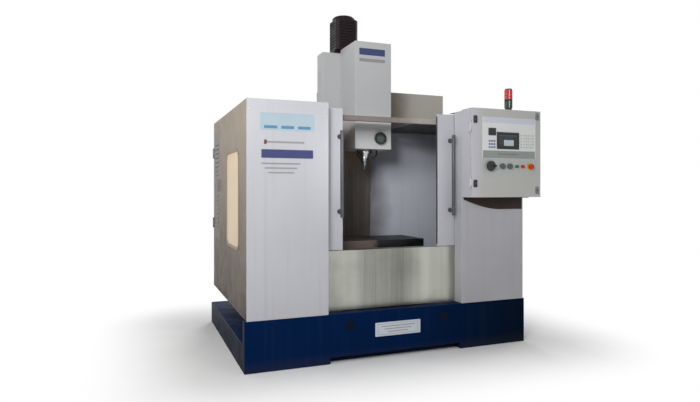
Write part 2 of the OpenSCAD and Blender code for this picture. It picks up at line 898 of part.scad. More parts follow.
module work_lamp() {
    z = nose_z + 96;
    color("#1c1c20") difference() {
        union() {
            rod_y(lamp_x, z, head_y - 12, head_y, lamp_d - 20);
            rod_y(lamp_x, z, head_y - 34, head_y - 11, lamp_d);
        }
        rod_y(lamp_x, z, head_y - 35, head_y - 24, lamp_d - 20);
    }
}

module coolant_nozzles() {
    color("#b0793c") for (s = [-1, 1]) {
        from = [s * 95, spin_y - 60, nose_z - 45];
        dir = [-s * 95, 60, -95];
        rod_z(from.x, from.y, from.z, nose_z, 14);
        translate(from) sphere(d = 16);
        translate(from) rotate([0, acos(dir.z / norm(dir)), atan2(dir.y, dir.x)]) cylinder(h = 50, d = 10);
    }
}

// Sliding doors, drawn for the right side

module door_leaf() {
    x1 = door_x + door_w;
    px = door_x + pane_edge;
    difference() {
        union() {
            box(door_x, x1, door_y, door_y + door_t, door_z0, door_z1);
            for (x = [door_x + 120, x1 - 160])
                box(x, x + 60, door_y + door_t - 1, inner_y - 6, rail_z1 + slide_clear, rail_z1 + 24);
        }
        box(door_x + 25, x1 - 25, door_y + sheet, door_y + door_t + 1, door_z0 + 25, pane_z - 30);
        box(door_x + 25, x1 - 25, door_y + sheet, door_y + door_t + 1, pane_z + pane_h + 30, rail_z0 - 20);
        box(px, px + pane_w, door_y - 1, door_y + door_t + 1, pane_z, pane_z + pane_h);
    }
}

module door_pane() {
    px = door_x + pane_edge;
    box(px + 0.3, px + pane_w - 0.3, door_y + 6, door_y + 14, pane_z + 0.3, pane_z + pane_h - 0.3);
}

module door_bar(x) {
    y = door_y - handle_off;
    rod_z(x, y, handle_z, handle_z + handle_l, handle_d);
    for (z = [handle_z + 45, handle_z + handle_l - 45]) {
        rod_y(x, z, y, door_y, 22);
        rod_y(x, z, door_y - 6, door_y, 40);
    }
}

module door_left() {
    color("#c8c9ce") mirror([1, 0, 0]) door_leaf();
}

module door_left_window() {
    color("#9fb0b8") mirror([1, 0, 0]) door_pane();
}

module door_left_handle() {
    color("#5a5a5f") mirror([1, 0, 0]) door_bar(door_x + left_handle_in);
}

module door_right() {
    color("#b1b6bc") door_leaf();
}

module door_right_window() {
    color("#9fb0b8") door_pane();
}

module door_right_handle() {
    color("#5a5a5f") door_bar(door_x + right_handle_in);
}

// Control panel and its controls

module control_panel() {
    color("#a2a2a0") difference() {
        union() {
            box(ctl_x0 + 4, ctl_x1, ctl_y0, ctl_y0 + ctl_t, ctl_z, ctl_z1);
            for (z = ctl_hinge_zs) {
                hinge_knuckle(ctl_hinge_x, ctl_hinge_y, z);
                box(ctl_hinge_x, ctl_x0 + 5, ctl_hinge_y - 4, ctl_hinge_y + 4, z, z + knuckle_l);
            }
        }
        for (z = ctl_hinge_zs) hinge_bore(ctl_hinge_x, ctl_hinge_y, z);
        box(screen_x, screen_x + screen_w, ctl_y0 - 1, ctl_y0 + 10, screen_z, screen_z + screen_h);
        for (x = [wheel_x, mode_x, feed_x, start_x, hold_x, estop_x])
            rod_y(x, control_z, ctl_y0 - 1, ctl_y0 + ctl_t + 1, stem_d + 2 * fit);
    }
}

module screen() {
    x1 = screen_x + screen_w;
    z1 = screen_z + screen_h;
    color("#0e0f12") difference() {
        box(screen_x, x1, ctl_y0 - 5, ctl_y0 + 10, screen_z, z1);
        box(screen_x + bezel, x1 - bezel, ctl_y0 - 6, ctl_y0 - 2, screen_z + bezel, z1 - bezel);
    }
}

// A stem through the panel with a round cap in front of it
module control_stem(x, cap_d, cap_back, cap_front) {
    rod_y(x, control_z, ctl_y0 - cap_front, ctl_y0 + ctl_t + 6, stem_d);
    rod_y(x, control_z, ctl_y0 - cap_front, ctl_y0 - cap_back, cap_d);
}

module estop_button() {
    color("#c8202a") control_stem(estop_x, 44, 8, 32);
}

module start_button() {
    color("#2f8f4a") control_stem(start_x, 30, 6, 18);
}

module hold_button() {
    color("#c8402a") control_stem(hold_x, 30, 6, 18);
}

module pointer_knob(x) {
    control_stem(x, 46, 1, 22);
    box(x - 4, x + 4, ctl_y0 - 30, ctl_y0 - 21, control_z - 20, control_z + 20);
}

module mode_knob() {
    color("#18181b") pointer_knob(mode_x);
}

module feed_knob() {
    color("#18181b") pointer_knob(feed_x);
}

module handwheel() {
    color("#141417") union() {
        control_stem(wheel_x, 84, 14, 30);
        rod_y(wheel_x, control_z, ctl_y0 - 15, ctl_y0 - 1, 44);
        rod_y(wheel_x + 28, control_z, ctl_y0 - 56, ctl_y0 - 29, 16);
    }
}

// Rear and side doors

module electrical_door() {
    x1 = ecab_x1 - 4;
    y0 = ecab_y1 + 0.5;
    color("#a4a39e") difference() {
        union() {
            box(ecab_x0 + 4, x1, y0, y0 + ecab_t - 1, apron_h + 30, ecab_top - 30);
            for (z = ecab_hinge_zs) {
                hinge_knuckle(ecab_hinge_x, ecab_hinge_y, z);
                box(x1 - 1, ecab_hinge_x, ecab_hinge_y - 4, ecab_hinge_y + 4, z, z + knuckle_l);
            }
        }
        for (z = ecab_hinge_zs) hinge_bore(ecab_hinge_x, ecab_hinge_y, z);
        rod_y(isolator_x, isolator_z, y0 - 1, y0 + ecab_t + 1, stem_d + 2 * fit);
    }
}

module isolator_handle() {
    y = ecab_y1 + ecab_t;
    color("#b02028") union() {
        rod_y(isolator_x, isolator_z, ecab_y1 - 20, y + 22, stem_d);
        rod_y(isolator_x, isolator_z, y + 1, y + 14, 50);
        box(isolator_x - 9, isolator_x + 9, y + 13, y + 34, isolator_z - 40, isolator_z + 40);
    }
}

module service_door() {
    color("#8f8b86") difference() {
        union() {
            box(-xi, -xi + sheet, service_y0 + 2, service_y1 - 3, service_z0 + 2, service_z1 - 2);
            for (z = service_hinge_zs) {
                hinge_knuckle(service_hinge_x, service_y1, z);
                box(-xi - 12, -xi + 1, service_y1 - 30, service_y1 - 6, z, z + knuckle_l);
                box(-xi - 12, -xi - 4, service_y1 - 8, service_y1, z, z + knuckle_l);
            }
            box(-xi - 20, -xi, service_y0 + 40, service_y0 + 56, latch_z, latch_z + latch_h);
        }
        for (z = service_hinge_zs) hinge_bore(service_hinge_x, service_y1, z);
    }
}

base_pan();
bed();
levelling_feet();
column();
guide_rails();
axis_servos();
left_cover();
right_cover();
left_side_panel();
left_window();
right_side_panel();
rear_wall();
roof_panels();
lower_panel();
inner_front();
header_rail();
rear_left_panel();
electrical_cabinet();
lube_unit();
control_box();
stack_post();
stack_lenses();
z_cover_low();
saddle();
x_rails();
x_servo();
x_screw();
table();
y_screw();
z_screw();
head_casting();
head_cover();
head_slide_cover();
spindle_motor();
drive_belt();
spindle_cartridge();
work_lamp();
coolant_nozzles();
z_cover_top();
z_cover_mid();
spindle_shaft();
tool_holder();
motor_pulley();
door_left();
door_left_window();
door_left_handle();
door_right();
door_right_window();
door_right_handle();
control_panel();
screen();
estop_button();
start_button();
hold_button();
mode_knob();
feed_knob();
handwheel();
electrical_door();
isolator_handle();
service_door();
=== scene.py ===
"""The looks of a vertical machining centre: the finish of each surface, small fittings and a plain studio.

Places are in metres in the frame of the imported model: X to the right, Y to the back and Z up.
"""

import math
from itertools import product

import bmesh
import bpy
from mathutils import Matrix, Vector


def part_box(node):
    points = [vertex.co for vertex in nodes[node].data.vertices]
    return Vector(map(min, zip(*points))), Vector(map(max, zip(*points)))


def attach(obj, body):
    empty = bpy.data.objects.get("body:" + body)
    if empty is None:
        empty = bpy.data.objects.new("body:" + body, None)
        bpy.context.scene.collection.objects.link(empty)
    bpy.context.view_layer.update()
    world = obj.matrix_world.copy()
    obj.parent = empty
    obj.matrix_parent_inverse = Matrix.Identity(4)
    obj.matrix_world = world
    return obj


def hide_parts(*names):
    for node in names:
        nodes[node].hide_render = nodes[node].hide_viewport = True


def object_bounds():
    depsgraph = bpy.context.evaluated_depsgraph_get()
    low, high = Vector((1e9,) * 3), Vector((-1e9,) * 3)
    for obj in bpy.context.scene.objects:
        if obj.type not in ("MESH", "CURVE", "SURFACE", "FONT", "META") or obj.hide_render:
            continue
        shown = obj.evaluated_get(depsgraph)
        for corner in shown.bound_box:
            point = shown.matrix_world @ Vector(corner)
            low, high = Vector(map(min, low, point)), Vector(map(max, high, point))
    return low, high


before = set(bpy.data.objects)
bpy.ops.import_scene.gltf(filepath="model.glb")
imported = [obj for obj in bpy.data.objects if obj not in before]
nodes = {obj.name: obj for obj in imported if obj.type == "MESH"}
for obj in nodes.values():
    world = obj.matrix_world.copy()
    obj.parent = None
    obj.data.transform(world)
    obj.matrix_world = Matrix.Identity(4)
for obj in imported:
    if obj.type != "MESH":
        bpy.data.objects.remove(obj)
cad_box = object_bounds()

# Frames of the faces that fittings sit on: x along the face, y up it and z out of it
FRONT = Matrix(((1, 0, 0), (0, 0, -1), (0, 1, 0)))
REAR = Matrix(((-1, 0, 0), (0, 0, 1), (0, 1, 0)))
LEFT = Matrix(((0, 0, -1), (-1, 0, 0), (0, 1, 0)))
RIGHT = Matrix(((0, 0, 1), (1, 0, 0), (0, 1, 0)))
TOP = Matrix(((1, 0, 0), (0, 1, 0), (0, 0, 1)))
UNDER = Matrix(((1, 0, 0), (0, -1, 0), (0, 0, -1)))

# Camera of a 700 by 402 picture
PICTURE_W = 700
FOCAL_PIXELS = 555
HORIZON_OFFSET = 11
SENSOR = 36.0
CAMERA_PLACE = (-2.016, -4.936, 1.348)
CAMERA_YAW = 21.5


# Colours

def srgb(red, green, blue):
    """A screen colour of 0 to 255 values, in linear light."""

    def linear(value):
        v = value / 255
        return v / 12.92 if v <= 0.04045 else ((v + 0.055) / 1.055) ** 2.4

    return (linear(red), linear(green), linear(blue), 1.0)


def tint(colour, factor):
    """The colour made lighter or darker."""
    return tuple(min(1.0, c * factor) for c in colour[:3]) + (1.0,)


# Material building

def adjust(thing, **settings):
    """Sets values of a thing by their names."""
    for key, value in settings.items():
        setattr(thing, key, value)
    return thing


class Tree:
    """A tree of shader nodes, built from small steps."""

    def __init__(self, owner):
        owner.use_nodes = True
        self.tree = owner.node_tree

    def add(self, kind, **settings):
        return adjust(self.tree.nodes.new(kind), **settings)

    def feed(self, socket, value):
        if isinstance(value, bpy.types.NodeSocket):
            self.tree.links.new(value, socket)
        else:
            socket.default_value = value

    def math(self, operation, first, second=0.0):
        node = self.add("ShaderNodeMath", operation=operation)
        self.feed(node.inputs[0], first)
        self.feed(node.inputs[1], second)
        return node.outputs[0]

    def straight_rays(self):
        """One for rays that the camera sees, also in gloss or through glass, and nought for others."""
        path = self.add("ShaderNodeLightPath").outputs
        seen = self.math("MAXIMUM", path["Is Camera Ray"], path["Is Glossy Ray"])
        return self.math("MAXIMUM", seen, path["Is Transmission Ray"])

    def blend(self, factor, first, second, output):
        """Ends the tree with two shaders mixed by a factor."""
        mix = self.add("ShaderNodeMixShader")
        for socket, value in zip(mix.inputs, (factor, first.outputs[0], second.outputs[0])):
            self.feed(socket, value)
        self.feed(self.tree.nodes[output].inputs["Surface"], mix.outputs[0])


M = {}


class Finish(Tree):
    """The tree of one material, kept in M under its name."""

    def __init__(self, name, roughness=0.5, metallic=0.0, gloss=0.5):
        M[name] = bpy.data.materials.new(name)
        super().__init__(M[name])
        self.shader = self.tree.nodes["Principled BSDF"]
        self.set("Metallic", metallic)
        self.set("Roughness", roughness)
        self.set("Specular IOR Level", gloss)
        self.surface = self.add("ShaderNodeTexCoord").outputs

    def set(self, name, value):
        self.feed(self.shader.inputs[name], value)

    def noise(self, scale, detail=3.0, stretch=(1, 1, 1)):
        """Cloudy values about 0.5, with that many clouds to a metre."""
        mapping = self.add("ShaderNodeMapping")
        mapping.inputs["Scale"].default_value = [scale * s for s in stretch]
        self.feed(mapping.inputs["Vector"], self.surface["Object"])
        noise = self.add("ShaderNodeTexNoise")
        noise.inputs["Scale"].default_value = 1.0
        noise.inputs["Detail"].default_value = detail
        self.feed(noise.inputs["Vector"], mapping.outputs["Vector"])
        return noise.outputs["Fac"]

    def along(self, axis, of="Object"):
        """One part of the place in metres, or of the surface's normal."""
        split = self.add("ShaderNodeSeparateXYZ")
        self.feed(split.inputs["Vector"], self.surface[of])
        return split.outputs[axis]

    def level(self, factor, low, high, start=0.3, end=0.7, way="LINEAR"):
        """A value that runs from low to high as factor runs from start to end."""
        node = self.add("ShaderNodeMapRange", interpolation_type=way)
        self.feed(node.inputs["Value"], factor)
        for key, value in (("From Min", start), ("From Max", end), ("To Min", low), ("To Max", high)):
            node.inputs[key].default_value = value
        return node.outputs["Result"]

    def between(self, factor, low, high, start=0.3, end=0.7):
        """A colour that runs from low to high as factor runs from start to end."""
        ramp = self.add("ShaderNodeValToRGB")
        self.feed(ramp.inputs["Fac"], factor)
        first, last = ramp.color_ramp.elements
        adjust(first, position=start, color=low)
        adjust(last, position=end, color=high)
        return ramp.outputs["Color"]

    def mix(self, factor, first, second):
        node = self.add("ShaderNodeMix", data_type="RGBA")
        self.feed(node.inputs[0], factor)
        self.feed(node.inputs[6], first)
        self.feed(node.inputs[7], second)
        return node.outputs[2]

    def times(self, first, second):
        return self.math("MULTIPLY", first, second)

    def bump(self, height, strength, depth):
        node = self.add("ShaderNodeBump")
        node.inputs["Strength"].default_value = strength
        node.inputs["Distance"].default_value = depth
        self.feed(node.inputs["Height"], height)
        self.set("Normal", node.outputs["Normal"])

    def ragged(self, value, scale, detail, reach, stretch=(1, 1, 1)):
        """A value pushed to and fro by clouds, for a ragged edge."""
        return self.math("ADD", value, self.level(self.noise(scale, detail, stretch), -reach, reach))

    def facing(self, axis, amount=1.0):
        """That amount on faces that look down the axis, and nought on the others."""
        return self.level(self.along(axis, "Normal"), amount, 0.0, -0.95, -0.5)

    def varied(self, colour, scale, detail, low, high):
        """The colour in clouds, from a darker to a lighter tint."""
        return self.between(self.noise(scale, detail), tint(colour, low), tint(colour, high))

    def sprayed(self, colour):
        """The soft clouds of tone in a paint."""
        return self.varied(colour, 1.3, 4, 0.955, 1.03)

    def runs(self, amount):
        """Faint runs of dirt down a sheet."""
        return self.level(self.noise(1.0, 5, (24, 24, 0.8)), 0.0, amount, 0.54, 0.82)

    def patches(self):
        """Uneven patches in a darkening layer."""
        return self.level(self.noise(3, 5), 0.84, 1.0)

    def rough(self, roughness, less, more, scale=8):
        """Roughness in clouds about a value."""
        self.set("Roughness", self.level(self.noise(scale, 4), roughness - less, roughness + more))

    def coat(self, tone, roughness=0.42, peel=0.12):
        """Ends a paint: its tone, an uneven gloss and orange peel."""
        self.set("Base Color", tone)
        self.rough(roughness, 0.07, 0.09)
        self.bump(self.noise(380, 2), peel, 0.0005)

    def ground(self, colour, along, roughness, depth, darkening):
        """Gives metal its lines along one axis, and returns its stained tone."""
        lines = self.noise(1.0, 3, [7.0 if axis == along else 520.0 for axis in "xyz"])
        tone = self.between(lines, tint(colour, 0.86), tint(colour, 1.1), 0.32, 0.68)
        spots = self.level(self.noise(6, 5), 0.0, darkening, 0.5, 0.75)
        self.set("Roughness", self.level(lines, roughness - 0.08, roughness + 0.12))
        self.bump(lines, depth, 0.0002)
        return self.mix(spots, tone, tint(colour, 0.5))


DUST = srgb(150, 140, 124)
# Dark of painted shade
SHADE_DARK = srgb(62, 54, 50)
# Brown of the painted shade and reflection on the head's left side
SHADE_BROWN = srgb(134, 114, 96)


def paint(name, colour, roughness=0.42, peel=0.12, grime=0.16, foot=0.0, rise=0.16, gloss=0.5,
          light_falloff=None, shaded_faces=None):
    """Sprayed paint with runs of dirt, and where asked a painted fall-off of light across X, a darkening
    towards its foot and painted shade on the faces that look down one axis.
    """
    f = Finish(name, gloss=gloss)
    tone = f.sprayed(colour)
    # Painted light and shade: the tone drifts across X towards another colour, as the light falls off
    if light_falloff:
        other, start, end = light_falloff
        tone = f.mix(f.level(f.along("X"), 1.0, 0.0, start, end), tone, other)
    tone = f.mix(f.runs(grime), tone, DUST)
    # Darker towards the foot: painted shade, as on the right cover and the side panels
    if foot:
        foot_shade = f.level(f.along("Z"), foot, 0.0, 0.0, rise)
        tone = f.mix(f.times(foot_shade, f.patches()), tone, SHADE_DARK)
    # Painted shade on the faces that look down one axis
    if shaded_faces:
        axis, amount, dark = shaded_faces
        tone = f.mix(f.times(f.facing(axis, amount), f.patches()), tone, dark)
    f.coat(tone, roughness, peel)


def shaded_side_head(name, colour):
    """Head paint, with painted shade and a painted brown reflection low down on its left side."""
    f = Finish(name)
    # Painted shade and brown reflection on the left side below the rail
    low = f.times(f.facing("X"), f.level(f.along("Z"), 0.7, 0.0, 1.9, 2.02))
    darkening = f.times(low, f.level(f.noise(1.0, 5, (6, 6, 2)), 0.7, 1.0))
    f.coat(f.mix(darkening, f.sprayed(colour), SHADE_BROWN))


def shaded_cabinet_paint(name, colour, shadow_brown, dark):
    """Cabinet paint, with the head's shadow painted brown on its front beside the head, and a band of painted
    shade just above the roof on the left of its front.
    """
    f = Finish(name)
    front = f.facing("Y")
    across = f.ragged(f.along("X"), 6, 4, 0.04)
    # Painted shadow of the head on the cabinet front
    head_shadow = f.times(front, f.level(across, 0.85, 0.0, 0.5, 0.78))
    # Painted shade just above the roof
    low = f.times(f.level(f.along("Z"), 0.9, 0.0, 2.05, 2.12), f.level(across, 1.0, 0.0, 0.68, 0.86))
    f.coat(f.mix(f.times(front, low), f.mix(head_shadow, f.sprayed(colour), shadow_brown), dark), 0.48, 0.2)


def shaded_wall(name, colour):
    """Liner paint, darkened beside the way covers by painted shade of the head and the column."""
    f = Finish(name)
    edge = f.ragged(f.math("ABSOLUTE", f.along("X")), 4, 4, 0.05)
    tone = f.mix(f.runs(0.3), f.sprayed(colour), DUST)
    # Painted shade beside the way covers
    f.coat(f.mix(f.level(edge, 0.62, 0.0, 0.3, 0.52), tone, SHADE_DARK), 0.5)


def left_darker_rail(name, colour, dark):
    """Rail paint, darker on the left of the spindle."""
    f = Finish(name)
    edge = f.ragged(f.along("X"), 7, 4, 0.06)
    tone = f.mix(f.level(edge, 1.0, 0.0, 0.06, 0.3), colour, dark)
    f.coat(f.mix(f.runs(0.4), tone, DUST), 0.5, 0.2)


def way_paint(name, dark, light):
    """Way cover sheet: oily and dark low down, with dried coolant further up."""
    f = Finish(name)
    edge = f.ragged(f.along("Z"), 1.0, 4, 0.08, (5, 5, 2))
    tone = f.mix(f.level(edge, 0.0, 1.0, 1.5, 1.66), dark, light)
    streaks = f.level(f.noise(1.0, 5, (30, 30, 1)), 0.0, 0.5, 0.5, 0.8)
    f.set("Base Color", f.mix(streaks, tone, DUST))
    f.rough(0.45, 0.09, 0.09)
    f.bump(f.noise(380, 2), 0.1, 0.0005)


def worn_edge(name, colour, bare, amount=0.5, gloss=0.5):
    """Paint on an edge, rubbed through to what lies under it here and there."""
    f = Finish(name, roughness=0.4, gloss=gloss)
    rub = f.level(f.noise(34, 5), 0.0, amount, 0.52, 0.62)
    f.set("Base Color", f.mix(rub, tint(colour, 1.05), bare))
    f.bump(f.noise(420, 2), 0.1, 0.0004)


def machined(name, colour, along, roughness=0.32, depth=0.35, darkening=0.3):
    """Bare metal with cutter or grinding lines along one axis, and faint stains."""
    f = Finish(name, metallic=1.0)
    f.set("Base Color", f.ground(colour, along, roughness, depth, darkening))


def ground_table(name, colour, dried):
    """Ground iron, oily and dark, with coolant dried on the left of its front edge."""
    f = Finish(name)
    tone = f.ground(colour, "x", 0.42, 0.4, 0.6)
    across = f.ragged(f.along("X"), 14, 5, 0.045)
    crust = f.times(f.facing("Y"), f.level(across, 0.9, 0.0, -0.03, 0.04))
    f.set("Base Color", f.mix(crust, tone, dried))
    f.set("Metallic", f.level(crust, 1.0, 0.0, 0.0, 0.9))


def stainless(name, dark, light):
    """Brushed sheet with upright lines, and broad bands of painted reflection, darkest in the middle."""
    f = Finish(name, metallic=1.0)
    aside = f.math("ABSOLUTE", f.math("ADD", f.along("X"), 0.03))
    # Painted reflection: broad upright bands, darkest in the middle
    reflection_bands = f.ragged(f.level(aside, 0.12, 0.72, 0.13, 0.32), 1.0, 2, 0.2, (7, 7, 0.25))
    lines = f.noise(1.0, 3, (420, 420, 3))
    tone = f.between(reflection_bands, dark, light, 0.0, 0.9)
    tone = f.mix(f.level(lines, 0.0, 0.35), tone, tint(light, 1.12))
    smear = f.level(f.noise(2.2, 5), 0.0, 0.35, 0.52, 0.7)
    f.set("Base Color", f.mix(smear, tone, tint(dark, 0.85)))
    f.rough(0.345, 0.075, 0.075, 5)
    f.bump(lines, 0.25, 0.0002)


def moulded(name, colour, roughness=0.5, grain=0.2, scale=900, gloss=0.5):
    """Moulded plastic or rubber with a fine grain and handled patches."""
    f = Finish(name, gloss=gloss)
    f.set("Base Color", f.varied(colour, 22, 4, 0.88, 1.1))
    f.rough(roughness, 0.1, 0.1, 30)
    f.bump(f.noise(scale, 2), grain, 0.0004)


def film(name, colour, roughness=0.36):
    """Printed film or plate, a little dulled where it is handled."""
    f = Finish(name)
    f.set("Base Color", f.varied(colour, 5, 4, 0.965, 1.02))
    f.rough(roughness, 0.06, 0.1, 12)
    f.bump(f.noise(1200, 2), 0.06, 0.0003)


def cast(name, colour, roughness=0.55, gloss=0.5):
    """Painted casting: a rough skin under the paint."""
    f = Finish(name, gloss=gloss)
    oil = f.level(f.noise(1.0, 5, (9, 9, 1.6)), 0.0, 0.35, 0.55, 0.8)
    f.set("Base Color", f.mix(oil, f.varied(colour, 3.5, 5, 0.86, 1.06), tint(colour, 0.45)))
    f.rough(roughness, 0.15, 0.1, 11)
    f.bump(f.noise(150, 4), 0.3, 0.001)


def clear(name, colour, roughness=0.03, smear=0.12):
    """Clear sheet with wiped smears."""
    f = Finish(name)
    f.set("Base Color", f.varied(colour, 2, 3, 0.95, 1.0))
    f.set("Roughness", f.level(f.noise(1.0, 5, (3, 3, 9)), roughness, roughness + smear, 0.5, 0.8))
    f.set("Transmission Weight", 0.92)
    f.set("IOR", 1.45)


def glowing(name, colour, strength):
    """A lit face, cloudy like a diffuser."""
    f = Finish(name, roughness=0.3)
    tone = f.varied(colour, 60, 3, 0.85, 1.0)
    f.set("Base Color", tone)
    f.set("Emission Color", tone)
    f.set("Emission Strength", strength)


def tinted_lens(name, colour):
    """Coloured lamp plastic that lets some light through."""
    f = Finish(name, roughness=0.16)
    f.set("Base Color", f.varied(colour, 50, 3, 0.82, 1.1))
    f.set("Transmission Weight", 0.22)
    f.bump(f.noise(240, 2), 0.08, 0.0004)


def milky(name, colour):
    """Milky sheet, a little stained towards its foot."""
    f = Finish(name, gloss=0.25)
    low = f.level(f.along("Z"), 0.35, 0.0, 0.85, 1.5)
    f.set("Base Color", f.mix(low, f.varied(colour, 1.6, 3, 0.95, 1.0), tint(colour, 0.72)))
    f.rough(0.41, 0.07, 0.07, 6)
    f.bump(f.noise(18, 2), 0.03, 0.001)


WHITE = srgb(198, 199, 205)
GREY_HEAD = srgb(196, 197, 198)
# The side panels' paint: the cover white made darker and warmer, as painted shade
SHADED_SIDE_TONE = srgb(171, 159, 145)
CABINET = srgb(196, 191, 182)
SERVICE = srgb(152, 150, 148)
LINER = srgb(204, 208, 220)
NAVY = srgb(2, 29, 68)
PANEL = srgb(194, 194, 191)
STEEL = srgb(176, 178, 180)
PRIMER = srgb(222, 222, 220)

paint("cover", WHITE, foot=0.3, rise=1.7)
# Darker towards its foot than the left cover: painted shade of the control box
paint("right_cover", WHITE, foot=0.52, rise=1.9)
shaded_side_head("head", GREY_HEAD)
# The side panels: a shaded copy of the cover white, darker still towards the foot: painted shade
paint("side", SHADED_SIDE_TONE, 0.5, foot=1.3, rise=1.85, gloss=0.08)
paint("service", SERVICE, 0.5, foot=1.0, rise=1.7, gloss=0.12)
paint("cabinet", CABINET, 0.48, 0.2)
shaded_cabinet_paint("shaded_cabinet", CABINET, srgb(104, 86, 64), srgb(46, 42, 45))
paint("liner", LINER, 0.5, grime=0.3)
shaded_wall("rear_liner", LINER)
# Painted shade on the roof's underside
paint("roof", srgb(126, 126, 130), 0.55, 0.2, 0.3, shaded_faces=("Z", 0.9, SHADE_DARK))
# The base: darker towards the right and on its left faces, painted shade; also darker towards its foot
paint("navy", NAVY, 0.45, 0.16, 0.02, foot=0.3, rise=0.1, gloss=0.02,
      light_falloff=(srgb(1, 14, 30), 1.3, 0.1), shaded_faces=("X", 0.75, srgb(30, 29, 31)))
# The operator panel: lighter and bluer at its left end, painted light from the left
paint("panel", PANEL, 0.5, 0.3, 0.05, light_falloff=(srgb(207, 204, 213), 0.6, 0.72))
paint("box", srgb(200, 199, 205), 0.45, 0.2, 0.06)
left_darker_rail("rail_paint", srgb(172, 166, 160), srgb(124, 114, 110))
way_paint("way", srgb(96, 88, 84), srgb(140, 122, 106))

EDGED = {"cover": WHITE, "head": GREY_HEAD, "side": SHADED_SIDE_TONE, "service": SERVICE, "panel": PANEL}
for part, colour in EDGED.items():
    worn_edge(part + "_edge", colour, PRIMER)
worn_edge("navy_edge", srgb(3, 28, 64), srgb(26, 40, 66), 0.3, 0.05)

stainless("stainless", srgb(112, 113, 107), srgb(176, 177, 168))
ground_table("table", srgb(62, 62, 63), srgb(118, 104, 97))
machined("rail", STEEL, "y", 0.22)
machined("cross_rail", STEEL, "x", 0.28)
machined("spindle", srgb(190, 191, 192), "z", 0.2, 0.2, 0.1)
machined("tool", srgb(130, 132, 134), "z", 0.36, 0.2, 0.2)
machined("bronze", srgb(118, 92, 64), "z", 0.4, 0.15)
machined("nozzle", srgb(50, 43, 38), "z", 0.45, 0.15)
machined("zinc", srgb(196, 197, 196), "x", 0.34, 0.15, 0.2)

cast("iron", srgb(112, 117, 124))
cast("pale_iron", srgb(168, 170, 170), 0.5)
cast("motor", srgb(36, 25, 30), 0.42, 0.15)
# Dark brown of the angle under the control box, a painted shadow
cast("shadow_angle_paint", srgb(50, 38, 36), 0.5, 0.2)
cast("foot", srgb(72, 74, 78))

moulded("handle", srgb(78, 79, 84), 0.38, 0.15)
moulded("black", srgb(30, 30, 33), 0.45)
moulded("rubber", srgb(26, 26, 27), 0.72, 0.35, 600)
moulded("grey", srgb(128, 132, 134), 0.5)
moulded("seal", srgb(160, 147, 131), 0.6, gloss=0.2)
moulded("pale", srgb(206, 208, 208), 0.45, 0.12)
moulded("key_blue", srgb(112, 122, 150), 0.45, 0.12)
moulded("red", srgb(196, 34, 38), 0.35, 0.08)
moulded("green", srgb(58, 112, 78), 0.35, 0.08)
moulded("yellow", srgb(226, 182, 36), 0.4, 0.08)
moulded("tank", srgb(222, 218, 202), 0.38, 0.1, 300)
moulded("belt", srgb(28, 28, 30), 0.8, 0.5, 260)
moulded("cap", srgb(5, 15, 32), 0.7, 0.3, 600, 0.1)
moulded("dark_glass", srgb(16, 18, 20), 0.12, 0.02)
moulded("knob", srgb(92, 97, 95), 0.45)
moulded("lamp", srgb(62, 74, 72), 0.12, 0.02, 60)
moulded("board", srgb(36, 92, 60), 0.4, 0.1)

film("film", srgb(232, 234, 233), 0.4)
film("band", srgb(150, 156, 154), 0.45)
film("strip", srgb(212, 216, 228))
film("row", srgb(190, 195, 192), 0.45)
film("decal_pale", srgb(174, 193, 204))
film("decal_blue", srgb(54, 63, 110))
film("decal_mid", srgb(88, 136, 170))
film("decal_grey", srgb(150, 152, 152), 0.4)
film("decal_red", srgb(128, 70, 72), 0.4)
film("plate", srgb(198, 205, 214))

milky("cream", srgb(240, 216, 180))
clear("pane", srgb(206, 222, 226))
tinted_lens("red_lens", srgb(222, 44, 58))
tinted_lens("green_lens", srgb(24, 66, 36))
glowing("display", srgb(14, 17, 19), 0.4)
glowing("display_light", srgb(150, 162, 166), 0.55)
glowing("display_blue", srgb(44, 56, 66), 0.4)


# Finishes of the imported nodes

def dress(finish, width, *names, edge=None):
    """Gives nodes their finish, and soft edges with or without a finish of their own."""
    for name in names:
        node = nodes[name]
        node.data.materials[0] = M[finish]
        if not width:
            continue
        adjust(node.modifiers.new("weld", "WELD"), merge_threshold=1e-6)
        flat = node.modifiers.new("flat_faces", "DECIMATE")
        adjust(flat, decimate_type="DISSOLVE", angle_limit=math.radians(0.4))
        bevel = node.modifiers.new("soft_edges", "BEVEL")
        adjust(bevel, width=width, segments=2, limit_method="ANGLE", angle_limit=math.radians(40))
        if edge:
            node.data.materials.append(M[edge])
            bevel.material = 1


# Widths of the soft edges
PLAIN = 0.0
FINE = 0.001
SHEET = 0.0011
BUTTON = 0.0012
SMALL = 0.0015
SOLID = 0.002
LEAF = 0.0025
BLOCK = 0.003
CASTING = 0.004

dress("navy", CASTING, "base_pan", edge="navy_edge")
dress("iron", CASTING, "bed")
dress("pale_iron", CASTING, "column")
dress("iron", BLOCK, "saddle")
dress("pale_iron", BLOCK, "head_casting")
dress("foot", PLAIN, "levelling_feet")
dress("rail", FINE, "guide_rails")
dress("cross_rail", FINE, "x_rails")
dress("motor", SOLID, "axis_servos", "x_servo")
dress("motor", SMALL, "spindle_motor")
dress("cover", SHEET, "left_cover", edge="cover_edge")
dress("right_cover", SHEET, "right_cover", edge="cover_edge")
dress("cover", LEAF, "door_left", "door_right", edge="cover_edge")
dress("side", SHEET, "left_side_panel", "right_side_panel", "rear_left_panel", edge="side_edge")
dress("service", SHEET, "service_door", edge="service_edge")
dress("cream", SHEET, "left_window")
dress("liner", SHEET, "inner_front")
dress("rear_liner", SHEET, "rear_wall")
dress("roof", SHEET, "roof_panels")
dress("stainless", SHEET, "lower_panel")
dress("rail_paint", SHEET, "header_rail")
dress("shaded_cabinet", SHEET, "electrical_cabinet")
dress("cabinet", LEAF, "electrical_door")
dress("tank", LEAF, "lube_unit")
dress("box", SHEET, "control_box", edge="panel_edge")
dress("panel", SOLID, "control_panel", edge="panel_edge")
